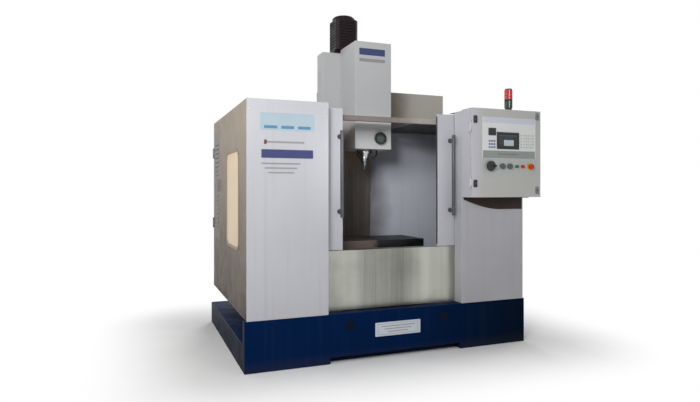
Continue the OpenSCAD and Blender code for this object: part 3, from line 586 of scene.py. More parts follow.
dress("way", SHEET, "z_cover_low", "z_cover_mid", "z_cover_top")
dress("head", SHEET, "head_cover", "head_slide_cover", edge="head_edge")
dress("table", SMALL, "table")
dress("spindle", PLAIN, "x_screw", "y_screw", "z_screw")
dress("spindle", FINE, "spindle_cartridge", "spindle_shaft", "motor_pulley")
dress("tool", FINE, "tool_holder")
dress("belt", PLAIN, "drive_belt")
dress("nozzle", PLAIN, "coolant_nozzles")
dress("pane", PLAIN, "door_left_window", "door_right_window")
dress("handle", SOLID, "door_left_handle", "door_right_handle")
dress("black", FINE, "stack_post")
dress("black", SMALL, "work_lamp", "screen")
dress("black", SOLID, "handwheel")
dress("knob", SMALL, "mode_knob", "feed_knob")
dress("red_lens", PLAIN, "stack_lenses")
dress("red", BUTTON, "estop_button")
dress("red", SMALL, "hold_button")
dress("red", SOLID, "isolator_handle")
dress("green", SMALL, "start_button")


# Mesh building

def place(face, x, y, z):
    """The frame of a fitting at a point on a face."""
    return Matrix.Translation((x, y, z)) @ face.to_4x4()


def middle(name):
    """The middle of a node's box."""
    low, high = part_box(name)
    return (low + high) / 2


def spread(start, end, count):
    """Evenly spaced values from start to end."""
    return [start + i * (end - start) / (count - 1) for i in range(count)]


def corners(x, y):
    """The four corners at these distances from the middle."""
    return [(-x, -y), (-x, y), (x, -y), (x, y)]


def rounded(width, height, radius, cx=0.0, cy=0.0, steps=5):
    """The outline of a rectangle with round corners."""
    points = []
    for turn, (sx, sy) in enumerate(((1, -1), (1, 1), (-1, 1), (-1, -1))):
        for i in range(steps + 1):
            a = math.radians(90 * (turn - 1) + 90 * i / steps)
            points.append((
                cx + sx * (width / 2 - radius) + radius * math.cos(a),
                cy + sy * (height / 2 - radius) + radius * math.sin(a),
            ))
    return points


def circle(radius, cx=0.0, cy=0.0, count=32):
    """The outline of a circle."""
    angles = [2 * math.pi * i / count for i in range(count)]
    return [(cx + radius * math.cos(a), cy + radius * math.sin(a)) for a in angles]


def loft(bm, spot, rings, finish=0, closed=False):
    """Skins outlines of equal count, and caps the ends or closes it on itself."""
    rows = [[bm.verts.new(spot @ Vector(p)) for p in ring] for ring in rings]
    faces = []
    pairs = list(zip(rows, rows[1:]))
    if closed:
        pairs.append((rows[-1], rows[0]))
    for low, high in pairs:
        for i in range(len(low)):
            j = (i + 1) % len(low)
            faces.append(bm.faces.new((low[i], low[j], high[j], high[i])))
    if not closed:
        faces.append(bm.faces.new(rows[0][::-1]))
        faces.append(bm.faces.new(rows[-1]))
    for face in faces:
        face.material_index = finish


def at(outline, z):
    """An outline lifted to a height."""
    return [(x, y, z) for x, y in outline]


def slab(bm, spot, width, height, z0, z1, radius=0.002, edge=0.001, finish=0, cx=0.0, cy=0.0):
    """A plate with round corners and a softened front edge."""
    edge = min(edge, (z1 - z0) * 0.6)
    inner = max(radius - edge, 1e-5)
    outer = rounded(width, height, radius, cx, cy)
    nose = rounded(width - 2 * edge, height - 2 * edge, inner, cx, cy)
    loft(bm, spot, [at(outer, z0), at(outer, z1 - edge), at(nose, z1)], finish)


def turned(bm, spot, profile, count=32, finish=0, cx=0.0, cy=0.0):
    """A turned shape about z from radius and height pairs."""
    loft(bm, spot, [at(circle(r, cx, cy, count), z) for r, z in profile], finish)


def holed(bm, spot, outline, holes, z0, z1, finish=0):
    """A sheet with holes, from z0 to z1."""
    before = set(bm.faces)
    edges = []
    for loop in [outline, *holes]:
        verts = [bm.verts.new(spot @ Vector((x, y, z0))) for x, y in loop]
        edges += [bm.edges.new((verts[i - 1], verts[i])) for i in range(len(verts))]
    filled = bmesh.ops.triangle_fill(bm, edges=edges, use_beauty=True, use_dissolve=False)
    faces = [g for g in filled["geom"] if isinstance(g, bmesh.types.BMFace)]
    raised = bmesh.ops.extrude_face_region(bm, geom=faces)["geom"]
    lift = spot.to_3x3() @ Vector((0, 0, z1 - z0))
    bmesh.ops.translate(bm, vec=lift, verts=[g for g in raised if isinstance(g, bmesh.types.BMVert)])
    for face in bm.faces:
        if face not in before:
            face.material_index = finish


def ring(bm, spot, outer, inner, z0, z1, finish=0):
    """A band between two outlines of equal count."""
    loft(bm, spot, [at(outer, z0), at(outer, z1), at(inner, z1), at(inner, z0)], finish, closed=True)


def screw(bm, spot, radius, finish=0, cx=0.0, cy=0.0, lift=0.0):
    """A button-head screw with a socket, lifted by the sheet it holds."""
    shares = ((1, 0), (1, 0.3), (0.86, 0.55), (0.5, 0.68), (0.44, 0.68), (0.42, 0.3))
    turned(bm, spot, [(radius * r, lift + radius * z) for r, z in shares], 16, finish, cx, cy)


def louvre(bm, spot, width, height, depth, cy=0.0, finish=0, dark=1):
    """A pressed hood with a dark slot under it."""
    w = width / 2
    n = w - depth
    brow = cy + 0.3 * height
    back = [(-w, cy), (w, cy), (w, cy + height), (-w, cy + height)]
    nose = [(-n, cy), (n, cy), (n, brow), (-n, brow)]
    loft(bm, spot, [at(back, 0), at(nose, depth)], finish)
    slab(bm, spot, 2 * n, 0.003, 0.0002, depth * 0.6, 0.001, 0.0004, dark, 0, cy - 0.0012)


def show(name, data):
    """An object of the data, put in the scene."""
    obj = bpy.data.objects.new(name, data)
    bpy.context.scene.collection.objects.link(obj)
    return obj


def piece(name, body, finishes, bm):
    """Makes an object of a bmesh, with its finishes, that rides on a body."""
    bmesh.ops.recalc_face_normals(bm, faces=bm.faces)
    mesh = bpy.data.meshes.new(name)
    bm.to_mesh(mesh)
    bm.free()
    for finish in finishes:
        mesh.materials.append(M[finish])
    mesh.shade_smooth()
    mesh.set_sharp_from_angle(angle=math.radians(32))
    obj = show(name, mesh)
    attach(obj, body)
    return obj


def fitting(body, slot, *finishes):
    """Makes a piece under a function's name, of the mesh that the function fills."""

    def make(fill):
        bm = bmesh.new()
        fill(bm)
        piece(fill.__name__, body, finishes, bm)
        return fill

    return make


# Fittings of the front covers and the base

FILM = 0.0008
MARGIN = 0.03
SMALL_SCREW = 0.004
PAN_SCREW = 0.005
SCREW = 0.006
BIG_SCREW = 0.007


def field(bm, x, y, z, width, height, finish=0, thick=FILM, radius=0.004):
    """A thin plain plate or film on a front."""
    slab(bm, place(FRONT, x, y, z), width, height, 0, thick, radius, 0.0003, finish)


def screws(bm, face, xs, ys, zs):
    """Screws wherever the places given along the three axes meet."""
    for spot in product(xs, ys, zs):
        screw(bm, place(face, *spot), SCREW)


@fitting("machine", "stainless", "zinc")
def cover_screws(bm):
    """Screws down both edges of the front covers, below the control box on the right."""
    inset = 0.022
    tops = {"left_cover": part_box("left_cover")[1].z, "right_cover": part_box("control_box")[0].z}
    for name, top in tops.items():
        low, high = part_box(name)
        end = 0.05 * (top - low.z)
        screws(bm, FRONT, (low.x + inset, high.x - inset), [low.y], spread(low.z + end, top - end, 4))


@fitting("machine", "cover_white", "decal_pale", "decal_mid", "decal_blue", "decal_grey", "decal_red")
def cover_fields(bm):
    """Plain coloured fields on the left cover."""
    low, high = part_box("left_cover")
    x = middle("left_cover").x - 0.008
    y = low.y
    top = high.z
    field(bm, x, y, top - 0.166, 0.42, 0.132, 0, radius=0.012)
    for shift in (-0.13, 0, 0.13):
        field(bm, x + shift, y - FILM, top - 0.206, 0.10, 0.022, 1)
    field(bm, x, y, top - 0.405, 0.40, 0.064, 2)
    field(bm, x - 0.02, y, top - 0.318, 0.30, 0.014, 3)
    field(bm, x - 0.17, y, top - 0.318, 0.02, 0.034, 4)
    for i in range(3):
        field(bm, x - 0.05, y, top - 0.478 - 0.034 * i, 0.30 - 0.05 * i, 0.012, 3)


@fitting("machine", "stainless", "plate", "zinc", "decal_grey")
def name_plate(bm):
    """A bare plate on the base, with a border and plain bars."""
    low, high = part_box("base_pan")
    plate = place(FRONT, -0.002, low.y, high.z - 0.153)
    thick = 0.0014
    print_z = (0.0012, 0.0018)
    slab(bm, plate, 0.406, 0.11, 0, thick, 0.006, 0.0003)
    ring(bm, plate, rounded(0.36, 0.086, 0.004), rounded(0.354, 0.08, 0.002), *print_z, 2)
    for i in range(3):
        slab(bm, plate, 0.3 - 0.06 * i, 0.008, *print_z, 0.001, 0.0002, 2, 0, 0.022 - 0.022 * i)
    for cx, cy in corners(0.19, 0.043):
        screw(bm, plate, SMALL_SCREW, 1, cx, cy, thick)


@fitting("machine", "knob_black", "cap")
def lifting_caps(bm):
    """Black caps over the lifting holes in the base."""
    low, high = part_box("base_pan")
    profile = [(0.038, 0), (0.038, 0.003), (0.034, 0.006), (0.026, 0.006), (0.024, 0.003), (0.008, 0.003)]
    for x in (-0.42, 0.429):
        turned(bm, place(FRONT, x, low.y, high.z - 0.099), profile, 36)


# Fittings of the head

@fitting("head", "cover_white", "head", "decal_blue", "decal_grey")
def head_badge(bm):
    """A plain badge on the head's front."""
    low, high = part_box("head_cover")
    x = middle("head_cover").x - 0.012
    thick = 0.0012
    field(bm, x, low.y, high.z - 0.122, 0.29, 0.2, 0, thick, 0.01)
    field(bm, x, low.y - thick, high.z - 0.09, 0.25, 0.06, 1)
    field(bm, x, low.y - thick, high.z - 0.165, 0.25, 0.03, 2)


@fitting("head", "stainless", "zinc")
def head_screws(bm):
    """Screws down the sides of the head's cover."""
    low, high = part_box("head_cover")
    heights = spread(low.z + 2 * MARGIN, high.z - 2 * MARGIN, 6)
    for face, x in ((LEFT, low.x), (RIGHT, high.x)):
        screws(bm, face, [x], (low.y + MARGIN, high.y - MARGIN), heights)


@fitting("head", "lens", "lamp", "black")
def lamp_glass(bm):
    """The work lamp's domed glass and its rim."""
    spot = middle("work_lamp")
    centre = place(FRONT, spot.x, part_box("work_lamp")[0].y + 0.01, spot.z)
    turned(bm, centre, [(0.0445, 0), (0.0445, 0.004), (0.036, 0.0065), (0.02, 0.008), (0.005, 0.0085)], 40)
    ring(bm, centre, circle(0.0449), circle(0.041), 0.0045, 0.011, 1)


@fitting("head", "motor_dark", "motor", "zinc")
def motor_box(bm):
    """The spindle motor's terminal box, its lid and its cable gland."""
    low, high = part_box("spindle_motor")
    x = middle("spindle_motor").x
    side = place(REAR, x, high.y, low.z + 0.2)
    lid = (0.04, 0.052)
    slab(bm, side, 0.11, 0.13, 0, lid[0], 0.008, 0.002)
    slab(bm, side, 0.116, 0.136, *lid, 0.01, 0.003)
    for cx, cy in corners(0.046, 0.056):
        screw(bm, side, SMALL_SCREW, 1, cx, cy, lid[1])
    gland = place(UNDER, x, high.y + 0.024, low.z + 0.135)
    turned(bm, gland, [(0.012, 0), (0.012, 0.012), (0.009, 0.02)], 6, 1)


@fitting("head", "steel", "zinc")
def fan_guard(bm):
    """The wire guard over the spindle motor's fan."""
    spot = middle("spindle_motor")
    top = place(TOP, spot.x, spot.y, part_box("spindle_motor")[1].z)
    wire = 0.0018
    for radius in (0.024, 0.042, 0.06, 0.078):
        ring(bm, top, circle(radius + wire), circle(radius - wire), 0.003, 0.006)
    for i in range(4):
        turn = Matrix.Rotation(math.radians(45 + 90 * i), 4, "Z")
        slab(bm, top @ turn, 0.066, 0.006, 0, 0.003, cx=0.05)


# Fittings of the sides and the roof

LEFT_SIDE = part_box("left_cover")[0].x


@fitting("machine", "knob_black", "seal")
def window_rubber(bm):
    """The rubber round the long window in the left side."""
    low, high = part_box("left_window")
    spot = middle("left_window")
    size = high - low
    outer = rounded(size.y + 0.022, size.z + 0.022, 0.081, steps=10)
    inner = rounded(size.y - 0.018, size.z - 0.018, 0.061, steps=10)
    ring(bm, place(LEFT, low.x + 0.0005, spot.y, spot.z), outer, inner, 0, 0.005)


@fitting("machine", "stainless", "side")
def side_screws(bm):
    """Rows of screws along the top and the foot of the left side."""
    low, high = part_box("left_side_panel")
    along = spread(low.y + 0.05, low.y + 1.65, 9)
    screws(bm, LEFT, [LEFT_SIDE], along, (low.z + MARGIN, high.z - MARGIN))


@fitting("service_door", "side_beige", "service", "black")
def service_louvres(bm):
    """Louvres pressed into the service door."""
    low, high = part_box("service_door")
    y = middle("service_door").y - 0.01
    for i in range(8):
        rise = 0.12 + 0.042 * i
        for z in (low.z + rise, high.z - rise):
            louvre(bm, place(LEFT, LEFT_SIDE, y, z), 0.22, 0.026, 0.009)


@fitting("machine", "stainless", "zinc")
def right_side_screws(bm):
    """Screws along the top and the foot of the right side panel."""
    low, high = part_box("right_side_panel")
    along = spread(low.y + 0.05, high.y - 0.05, 7)
    screws(bm, RIGHT, [high.x], along, (low.z + MARGIN, high.z - MARGIN))


@fitting("machine", "liner_grey", "roof", "zinc")
def roof_seams(bm):
    """Folded seams across the roof sheets."""
    low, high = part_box("roof_panels")
    depth = high.y - low.y - 0.04
    thick = 0.003
    for x in (-0.8, -0.44, 0.44, 0.8):
        seam = place(TOP, x, middle("roof_panels").y, high.z)
        slab(bm, seam, 0.03, depth, 0, thick)
        for cy in spread(0.06 - depth / 2, depth / 2 - 0.06, 6):
            screw(bm, seam, PAN_SCREW, 1, 0, cy, thick)


# Fittings of the back

def grille(bm, spot, size):
    """A fan filter with slats in a frame."""
    ring(bm, spot, rounded(size, size, 0.01), rounded(size - 0.04, size - 0.04, 0.004), 0, 0.01)
    slab(bm, spot, size - 0.036, size - 0.036, 0, 0.002, 0.003, 0.0005, 1)
    count = 9
    for i in range(count):
        y = (i - (count - 1) / 2) * (size - 0.05) / count
        louvre(bm, spot, size - 0.042, 0.015, 0.007, y - 0.0075)


@fitting("electrical_door", "panel_grey", "grey", "black")
def door_filters(bm):
    """Two fan filters in the electrical door."""
    low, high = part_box("electrical_door")
    for z in (high.z - 0.26, low.z + 0.28):
        grille(bm, place(REAR, middle("electrical_door").x - 0.005, high.y, z), 0.26)


@fitting("electrical_door", "handle_dark", "black", "zinc")
def swing_handle(bm):
    """The electrical door's swing handle and its lock."""
    low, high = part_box("electrical_door")
    base = place(REAR, low.x + 0.055, high.y, low.z + 0.72)
    thick = 0.008
    slab(bm, base, 0.04, 0.19, 0, thick, 0.012, 0.002)
    slab(bm, base, 0.024, 0.13, thick, 0.022, 0.01, 0.004, 0, 0, -0.018)
    turned(bm, base, [(0.013, thick), (0.013, 0.02), (0.01, 0.023)], 24, 1, 0, 0.066)


@fitting("electrical_door", "lens", "yellow")
def isolator_plate(bm):
    """The yellow plate behind the isolator's handle."""
    spot = middle("isolator_handle")
    centre = place(REAR, spot.x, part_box("electrical_door")[1].y, spot.z)
    holed(bm, centre, rounded(0.09, 0.09, 0.008), [circle(0.012)], 0, 0.001)


@fitting("machine", "side_beige", "side", "black")
def rear_louvres(bm):
    """Louvres in the panel at the left of the back."""
    low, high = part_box("rear_left_panel")
    for i in range(7):
        for rise in (0.42, 1.32):
            spot = place(REAR, middle("rear_left_panel").x, high.y, low.z + rise + 0.05 * i)
            louvre(bm, spot, 0.34, 0.03, 0.011)


@fitting("machine", "stainless", "zinc")
def rear_screws(bm):
    """Screws down both edges of the panel at the left of the back."""
    low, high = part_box("rear_left_panel")
    heights = spread(low.z + 0.23, high.z - MARGIN, 7)
    screws(bm, REAR, (low.x + 0.02, high.x - 0.02), [high.y], heights)


def lifting_eye(bm, spot, size):
    """An eye bolt on its collar."""
    turned(bm, spot, [(size * 0.7, 0), (size * 0.7, size * 0.2), (size * 0.35, size * 0.5)], 24)
    bar = circle(size * 0.28, size, 0, 10)
    rings = []
    for i in range(24):
        a = 2 * math.pi * i / 24
        rings.append([(r * math.cos(a), w, size * 1.6 + r * math.sin(a)) for r, w in bar])
    loft(bm, spot, rings, closed=True)


@fitting("machine", "casting_grey", "pale_iron", "zinc")
def column_plates(bm):
    """Screwed access plates on the column's back."""
    low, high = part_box("column")
    thick = 0.004
    for rise, height in ((0.65, 0.5), (1.25, 0.3)):
        plate = place(REAR, 0, high.y, low.z + rise)
        slab(bm, plate, 0.2, height, 0, thick, 0.008, 0.001)
        for cx in (-0.086, 0.086):
            for share in (-0.46, 0, 0.46):
                screw(bm, plate, SCREW, 1, cx, share * height, thick)


@fitting("machine", "steel", "zinc")
def column_eyes(bm):
    """Eye bolts on the column's top."""
    low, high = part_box("column")
    for x in (-0.2, 0.2):
        lifting_eye(bm, place(TOP, x, low.y + 0.09, high.z), 0.024)


@fitting("machine", "liner_grey", "rear_liner", "grey")
def column_seals(bm):
    """Screwed strips over the gaps between the back wall and the way covers."""
    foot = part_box("column")[0].z
    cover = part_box("z_cover_mid")
    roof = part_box("roof_panels")
    thick = 0.003
    wall_front = roof[1].y - thick
    length = roof[0].z - foot - 0.01
    width = 0.07
    aside = 0.0012 + width / 2
    for x in (cover[0].x - aside, cover[1].x + aside):
        strip = place(FRONT, x, wall_front, foot + 0.005 + length / 2)
        slab(bm, strip, width, length, 0, thick, 0.006, 0.001)
        for share in spread(-3 / 7, 3 / 7, 7):
            screw(bm, strip, SMALL_SCREW, 1, math.copysign(0.024, x), share * length, thick)


@fitting("machine", "steel", "zinc")
def cabinet_eyes(bm):
    """Eye bolts on the electrical cabinet's top."""
    low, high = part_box("electrical_cabinet")
    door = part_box("electrical_door")
    for x in (low.x + 0.1, door[1].x - 0.1):
        lifting_eye(bm, place(TOP, x, door[0].y - 0.1, high.z), 0.013)


# Devices in the electrical cabinet

def on_back_plate(across, rise):
    """The frame of a device on the back plate, by its place across and above the cabinet's foot."""
    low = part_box("electrical_cabinet")[0]
    return place(REAR, middle("electrical_door").x - 0.01 + across, low.y + 0.04, low.z + rise)


def duct(bm, spot, length):
    """Slotted wiring duct with its lid."""
    slab(bm, spot, length, 0.045, 0, 0.055)
    slab(bm, spot, length, 0.049, 0.055, 0.06)
    count = int(length / 0.02)
    for i in range(count):
        x = (i - (count - 1) / 2) * length / count
        slab(bm, spot, 0.007, 0.0462, 0.012, 0.05, 0.001, 0.0004, 1, x)


@fitting("machine", "panel_grey", "grey", "black")
def wiring_ducts(bm):
    """Wiring ducts between the rows of devices."""
    for rise in (2.0, 1.58, 1.2, 0.86):
        duct(bm, on_back_plate(0, rise), 0.56)


@fitting("machine", "panel_grey", "pale", "dark_glass", "green")
def axis_drives(bm):
    """Four drives, each with a dark window and a row of green plugs."""
    depth = 0.2
    for across in spread(-0.21, 0.21, 4):
        unit = on_back_plate(across, 1.79)
        slab(bm, unit, 0.115, 0.32, 0, depth, 0.004, 0.002)
        slab(bm, unit, 0.1, 0.12, depth, depth + 0.004, 0.004, 0.001, 1, 0, 0.08)
        for k in range(5):
            slab(bm, unit, 0.09, 0.012, depth, depth + 0.012, 0.002, 0.001, 2, 0, -0.02 - 0.025 * k)


@fitting("machine", "knob_black", "black", "zinc")
def contactors(bm):
    """A row of contactors with their terminal screws."""
    depth = 0.07
    for across in spread(-0.24, 0.24, 7):
        unit = on_back_plate(across, 1.39)
        slab(bm, unit, 0.06, 0.1, 0, depth, 0.003, 0.001)
        slab(bm, unit, 0.05, 0.05, depth, 0.1, 0.003, 0.002)
        for cx in (-0.018, 0, 0.018):
            for cy in (0.038, -0.038):
                screw(bm, unit, PAN_SCREW, 1, cx, cy, depth)


@fitting("machine", "panel_grey", "pale", "black")
def breakers(bm):
    """A row of breakers with their levers."""
    depth = 0.06
    for across in spread(-0.247, 0.247, 14):
        unit = on_back_plate(across, 1.03)
        slab(bm, unit, 0.034, 0.085, 0, depth)
        slab(bm, unit, 0.01, 0.022, depth, depth + 0.012, 0.002, 0.002, 1)


@fitting("machine", "panel_grey", "tank", "zinc")
def terminal_strip(bm):
    """Terminals on a rail."""
    strip = on_back_plate(0, 0.72)
    rail = 0.008
    slab(bm, strip, 0.54, 0.035, 0, rail, 0.001, 0.0005, 1)
    for cx in spread(-0.258, 0.258, 44):
        slab(bm, strip, 0.009, 0.055, rail, 0.05, 0.001, 0.001, 0, cx)


@fitting("machine", "motor_dark", "iron", "bronze")
def transformer(bm):
    """A transformer with three windings."""
    core = on_back_plate(0.1, 0.48)
    depth = 0.14
    slab(bm, core, 0.24, 0.2, 0, depth, 0.003, 0.002)
    for cx in (-0.075, 0, 0.075):
        slab(bm, core, 0.06, 0.16, depth, 0.17, 0.02, 0.008, 1, cx)


# Fittings of the operator panel

CONTROL_NAMES = ("handwheel", "mode_knob", "feed_knob", "start_button", "hold_button", "estop_button")
CONTROL_X = {name: middle(name).x for name in CONTROL_NAMES}
CONTROL_Z = middle("handwheel").z
PANEL_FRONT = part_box("control_panel")[0].y
PANEL_FILM = 0.0007
FILM_FRONT = PANEL_FRONT - PANEL_FILM


def at_control(name):
    """The frame of what is round a control, on the panel's film."""
    return place(FRONT, CONTROL_X[name], FILM_FRONT, CONTROL_Z)


@fitting("control_panel", "panel_grey", "film", "strip", "band", "row")
def operator_plate(bm):
    """The pale film over the panel, with the header strip and the band behind the controls."""
    low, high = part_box("screen")
    screen = middle("screen")
    x = screen.x + 0.015
    z = screen.z - 0.048
    width = 0.547
    reach = 0.2425
    split = CONTROL_Z + 0.069 - z
    centre = place(FRONT, x, PANEL_FRONT, z)
    window = rounded(high.x - low.x + 0.003, high.z - low.z + 0.003, 0.004, screen.x - x, screen.z - z)
    stems = [circle(0.0105, spot - x, CONTROL_Z - z, 24) for spot in CONTROL_X.values()]
    upper = rounded(width, reach - split, 0.008, 0, (reach + split) / 2)
    lower = rounded(width, reach + split, 0.008, 0, (split - reach) / 2)
    holed(bm, centre, upper, [window], 0, PANEL_FILM, 0)
    holed(bm, centre, lower, stems, 0, PANEL_FILM, 3)
    field(bm, x, PANEL_FRONT - 0.0006, z + 0.2175, 0.535, 0.045, 1)
    field(bm, x, PANEL_FRONT - 0.0006, CONTROL_Z + 0.1, 0.535, 0.062, 2)


def key(bm, x, y, z, width, height, finish=0):
    """A soft key that stands out of the film."""
    slab(bm, place(FRONT, x, y, z), width, height, 0, 0.002, 0.003, 0.0008, finish)


@fitting("control_panel", "panel_grey", "pale", "key_blue", "black", "grey")
def panel_keys(bm):
    """Soft keys beside and under the screen, a small keypad and a dark switch block."""
    low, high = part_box("screen")
    rows = [low.z + 0.02 + 0.0255 * i for i in range(5)]
    for z in rows:
        key(bm, high.x + 0.022, FILM_FRONT, z, 0.022, 0.014)
    for z in rows:
        for i in range(5):
            key(bm, high.x + 0.054 + 0.024 * i, FILM_FRONT, z, 0.018, 0.015)
    for i in range(8):
        key(bm, low.x + 0.02 + 0.027 * i, FILM_FRONT - PANEL_FILM, CONTROL_Z + 0.102, 0.02, 0.014, 3)
    for row in range(3):
        for i in range(3):
            key(bm, low.x - 0.073 + 0.024 * i, FILM_FRONT, low.z + 0.014 + 0.026 * row, 0.018, 0.016, 1)
    block = place(FRONT, low.x - 0.048, FILM_FRONT, high.z + 0.001)
    slab(bm, block, 0.074, 0.062, 0, 0.006, 0.004, 0.0015, 2)
    slab(bm, block, 0.054, 0.04, 0.006, 0.0075, 0.003, 0.0006, 2)


def tick(bm, name, angle, width, length, corner, radius):
    """A printed tick beside a control."""
    spot = at_control(name) @ Matrix.Rotation(math.radians(angle), 4, "Z")
    slab(bm, spot, width, length, 0, 0.0002, corner, 0.0001, 0, 0, radius)


@fitting("control_panel", "knob_black", "black")
def dial_marks(bm):
    """Plain ticks round the two knobs, and a printed ring round the handwheel."""
    for name in ("mode_knob", "feed_knob"):
        for i in range(9):
            tick(bm, name, -120 + 30 * i, 0.0018, 0.007, 0.0005, 0.0295)
    for i in range(40):
        tick(bm, "handwheel", 9 * i, 0.0012, 0.005 if i % 5 else 0.008, 0.0004, 0.048)


@fitting("control_panel", "steel", "zinc", "yellow")
def button_collars(bm):
    """Collars round the push buttons and the yellow ring of the stop button."""
    for name in ("start_button", "hold_button"):
        ring(bm, at_control(name), circle(0.02), circle(0.0165), 0, 0.004)
    ring(bm, at_control("estop_button"), circle(0.034), circle(0.0112), 0, 0.0012, 1)


@fitting("control_panel", "screen_black", "display", "display_light", "display_blue")
def screen_picture(bm):
    """A generic lit picture of plain blocks on the screen."""
    low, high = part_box("screen")
    spot = middle("screen")
    size = high - low
    face = place(FRONT, spot.x, low.y, spot.z)
    blocks = [(0.1, 0.05, 1, 0.005, -0.018), (0.18, 0.012, 2, 0, 0.042)]
    blocks += [(0.034, 0.008, 2, -0.075, 0.024 - 0.016 * i) for i in range(4)]
    blocks += [(0.1 - 0.02 * i, 0.005, 2, 0.005, 0.03 - 0.011 * i) for i in range(3)]
    slab(bm, face, size.x - 0.034, size.z - 0.034, 0, 0.0004, 0.003, 0.0002)
    for width, height, finish, cx, cy in blocks:
        slab(bm, face, width, height, 0.0004, 0.0006, 0.001, 0.0001, finish, cx, cy)


@fitting("control_panel", "handle_dark", "black", "grey", "handle")
def panel_clamps(bm):
    """Dark clamps at the corners of the operator panel."""
    low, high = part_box("control_panel")
    left = low.x + 0.049
    right = high.x - 0.038
    thick = 0.007
    spots = (
        (left, high.z - 0.096, 0),
        (left, low.z + 0.115, 0),
        (right, high.z - 0.046, 1),
        (right, low.z + 0.058, 1),
    )
    for x, z, finish in spots:
        spot = place(FRONT, x, PANEL_FRONT, z)
        slab(bm, spot, 0.036, 0.062, 0, thick, 0.008, 0.002, finish)
        screw(bm, spot, BIG_SCREW, 2, lift=thick)


@fitting("machine", "handle_dark", "shadow_angle_paint", "black")
def box_shadow_angle(bm):
    """A dark angle under the control box that carries it on the right cover, coloured and shaped as a painted
    shadow of the box.
    """
    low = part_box("control_box")[0]
    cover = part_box("right_cover")
    thick = 0.006
    x = (low.x + cover[1].x) / 2 + 0.01
    width = cover[1].x - low.x - 0.05
    front = place(FRONT, x, cover[0].y, low.z - thick)
    lower = []
    # The lower edge follows the shape of the box's shadow
    for share in spread(0, 1, 17):
        depth = 0.016 + 0.084 * math.sin(min(1.0, share / 0.62) * math.pi / 2)
        lower.append(((share - 0.5) * width, -depth))
    slab(bm, place(UNDER, x, cover[0].y - 0.05, low.z), width, 0.1, 0, thick, 0.004)
    holed(bm, front, [*lower, (width / 2, 0), (-width / 2, 0)], [], 0, thick)
    for share in spread(-0.375, 0.375, 4):
        screw(bm, front, BIG_SCREW, 1, share * width, -0.014, thick)


@fitting("control_panel", "panel_grey", "zinc", "black", "green")
def panel_back(bm):
    """The screen's housing and the contact blocks behind the operator panel."""
    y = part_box("control_panel")[1].y
    screen = middle("screen")
    back = place(REAR, screen.x, y, screen.z)
    slab(bm, back, 0.26, 0.18, 0, 0.04, 0.006, 0.003)
    for cy in spread(-0.05, 0.05, 6):
        slab(bm, back, 0.16, 0.006, 0.04, 0.0406, 0.002, 0.0003, 1, 0, cy)
    for x in CONTROL_X.values():
        spot = place(REAR, x, y, CONTROL_Z)
        ring(bm, spot, circle(0.017), circle(0.0125), 0, 0.0145, 1)
        slab(bm, spot, 0.034, 0.034, 0.0145, 0.045, 0.003, 0.002, 1)
        slab(bm, spot, 0.034, 0.012, 0.045, 0.05, 0.002, 0.001, 2)


@fitting("machine", "panel_grey", "board", "black", "zinc", "pale")
def control_boards(bm):
    """Circuit boards on the back wall inside the control box."""
    spot = middle("control_box")
    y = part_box("control_box")[1].y - 0.003
    gap = 0.012
    top = 0.0136
    boards = ((-0.1645, -0.159, 0.24, 0.26), (0.1555, -0.159, 0.26, 0.26), (0.0055, 0.171, 0.5, 0.2))
    for across, up, width, height in boards:
        board = place(FRONT, spot.x + across, y, spot.z + up)
        for cx, cy in corners(width / 2 - 0.01, height / 2 - 0.01):
            turned(bm, board, [(0.005, 0), (0.005, gap)], 12, 2, cx, cy)
        slab(bm, board, width, height, gap, top, 0.003, 0.0004)
        for i in range(4):
            for k in range(3):
                cx = (i - 1.5) * width / 4.6
                cy = (k - 1) * height / 3.8
                slab(bm, board, 0.03, 0.022, top, 0.02 + 0.004 * (i % 2), 0.001, 0.0006, 1, cx, cy)
        slab(bm, board, width * 0.8, 0.014, top, 0.03, 0.002, 0.001, 3, 0, height / 2 - 0.02)


# Fittings of the doors, the signal lamp and the lubrication unit

def door_rubber(body, face, end):
    """The rubber round a door's window, and the soft strip on its leading edge."""
    low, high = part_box(body + "_window")
    pane = middle(body + "_window")
    size = high - low
    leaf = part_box(body)
    front = leaf[0].y
    outer = rounded(size.x + 0.026, size.z + 0.026, 0.033)
    inner = rounded(size.x - 0.016, size.z - 0.016, 0.018)
    bm = bmesh.new()
    ring(bm, place(FRONT, pane.x, front, pane.z), outer, inner, 0, 0.003)
    strip = place(face, leaf[end].x, front + 0.015, middle(body).z)
    slab(bm, strip, 0.02, 1.1, 0, 0.0008, 0.003, 0.0004)
    piece(body + "_rubber", body, ["rubber"], bm)


door_rubber("door_left", RIGHT, 1)
door_rubber("door_right", LEFT, 0)


def fluted(radius, depth, count=30):
    """The outline of a fluted round."""
    points = []
    for i in range(2 * count):
        a = math.pi * i / count
        r = radius - (depth if i % 2 else 0)
        points.append((r * math.cos(a), r * math.sin(a)))
    return points


def signal_lens(name, z0, z1):
    """A hollow fluted lens of the signal lamp."""
    low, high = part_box("stack_lenses")
    spot = middle("stack_lenses")
    outer = (high.x - low.x) / 2
    soft = 0.003
    rim = fluted(outer - soft, 0.0)
    wall = fluted(outer, 0.0016)
    bore = fluted(outer - 2 * soft, 0.0)
    rings = [at(rim, z0), at(wall, z0 + soft), at(wall, z1 - soft), at(rim, z1), at(bore, z1), at(bore, z0)]
    bm = bmesh.new()
    loft(bm, place(TOP, spot.x, spot.y, 0), rings, 0, closed=True)
    return piece(name, "machine", [name], bm)


def signal_lenses():
    """The green and the red lens of the signal lamp."""
    low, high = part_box("stack_lenses")
    lenses = [
        signal_lens("green_lens", low.z, low.z + 0.066),
        signal_lens("red_lens", high.z - 0.087, high.z),
    ]
    for lens in lenses:
        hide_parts("stack_lenses")


signal_lenses()


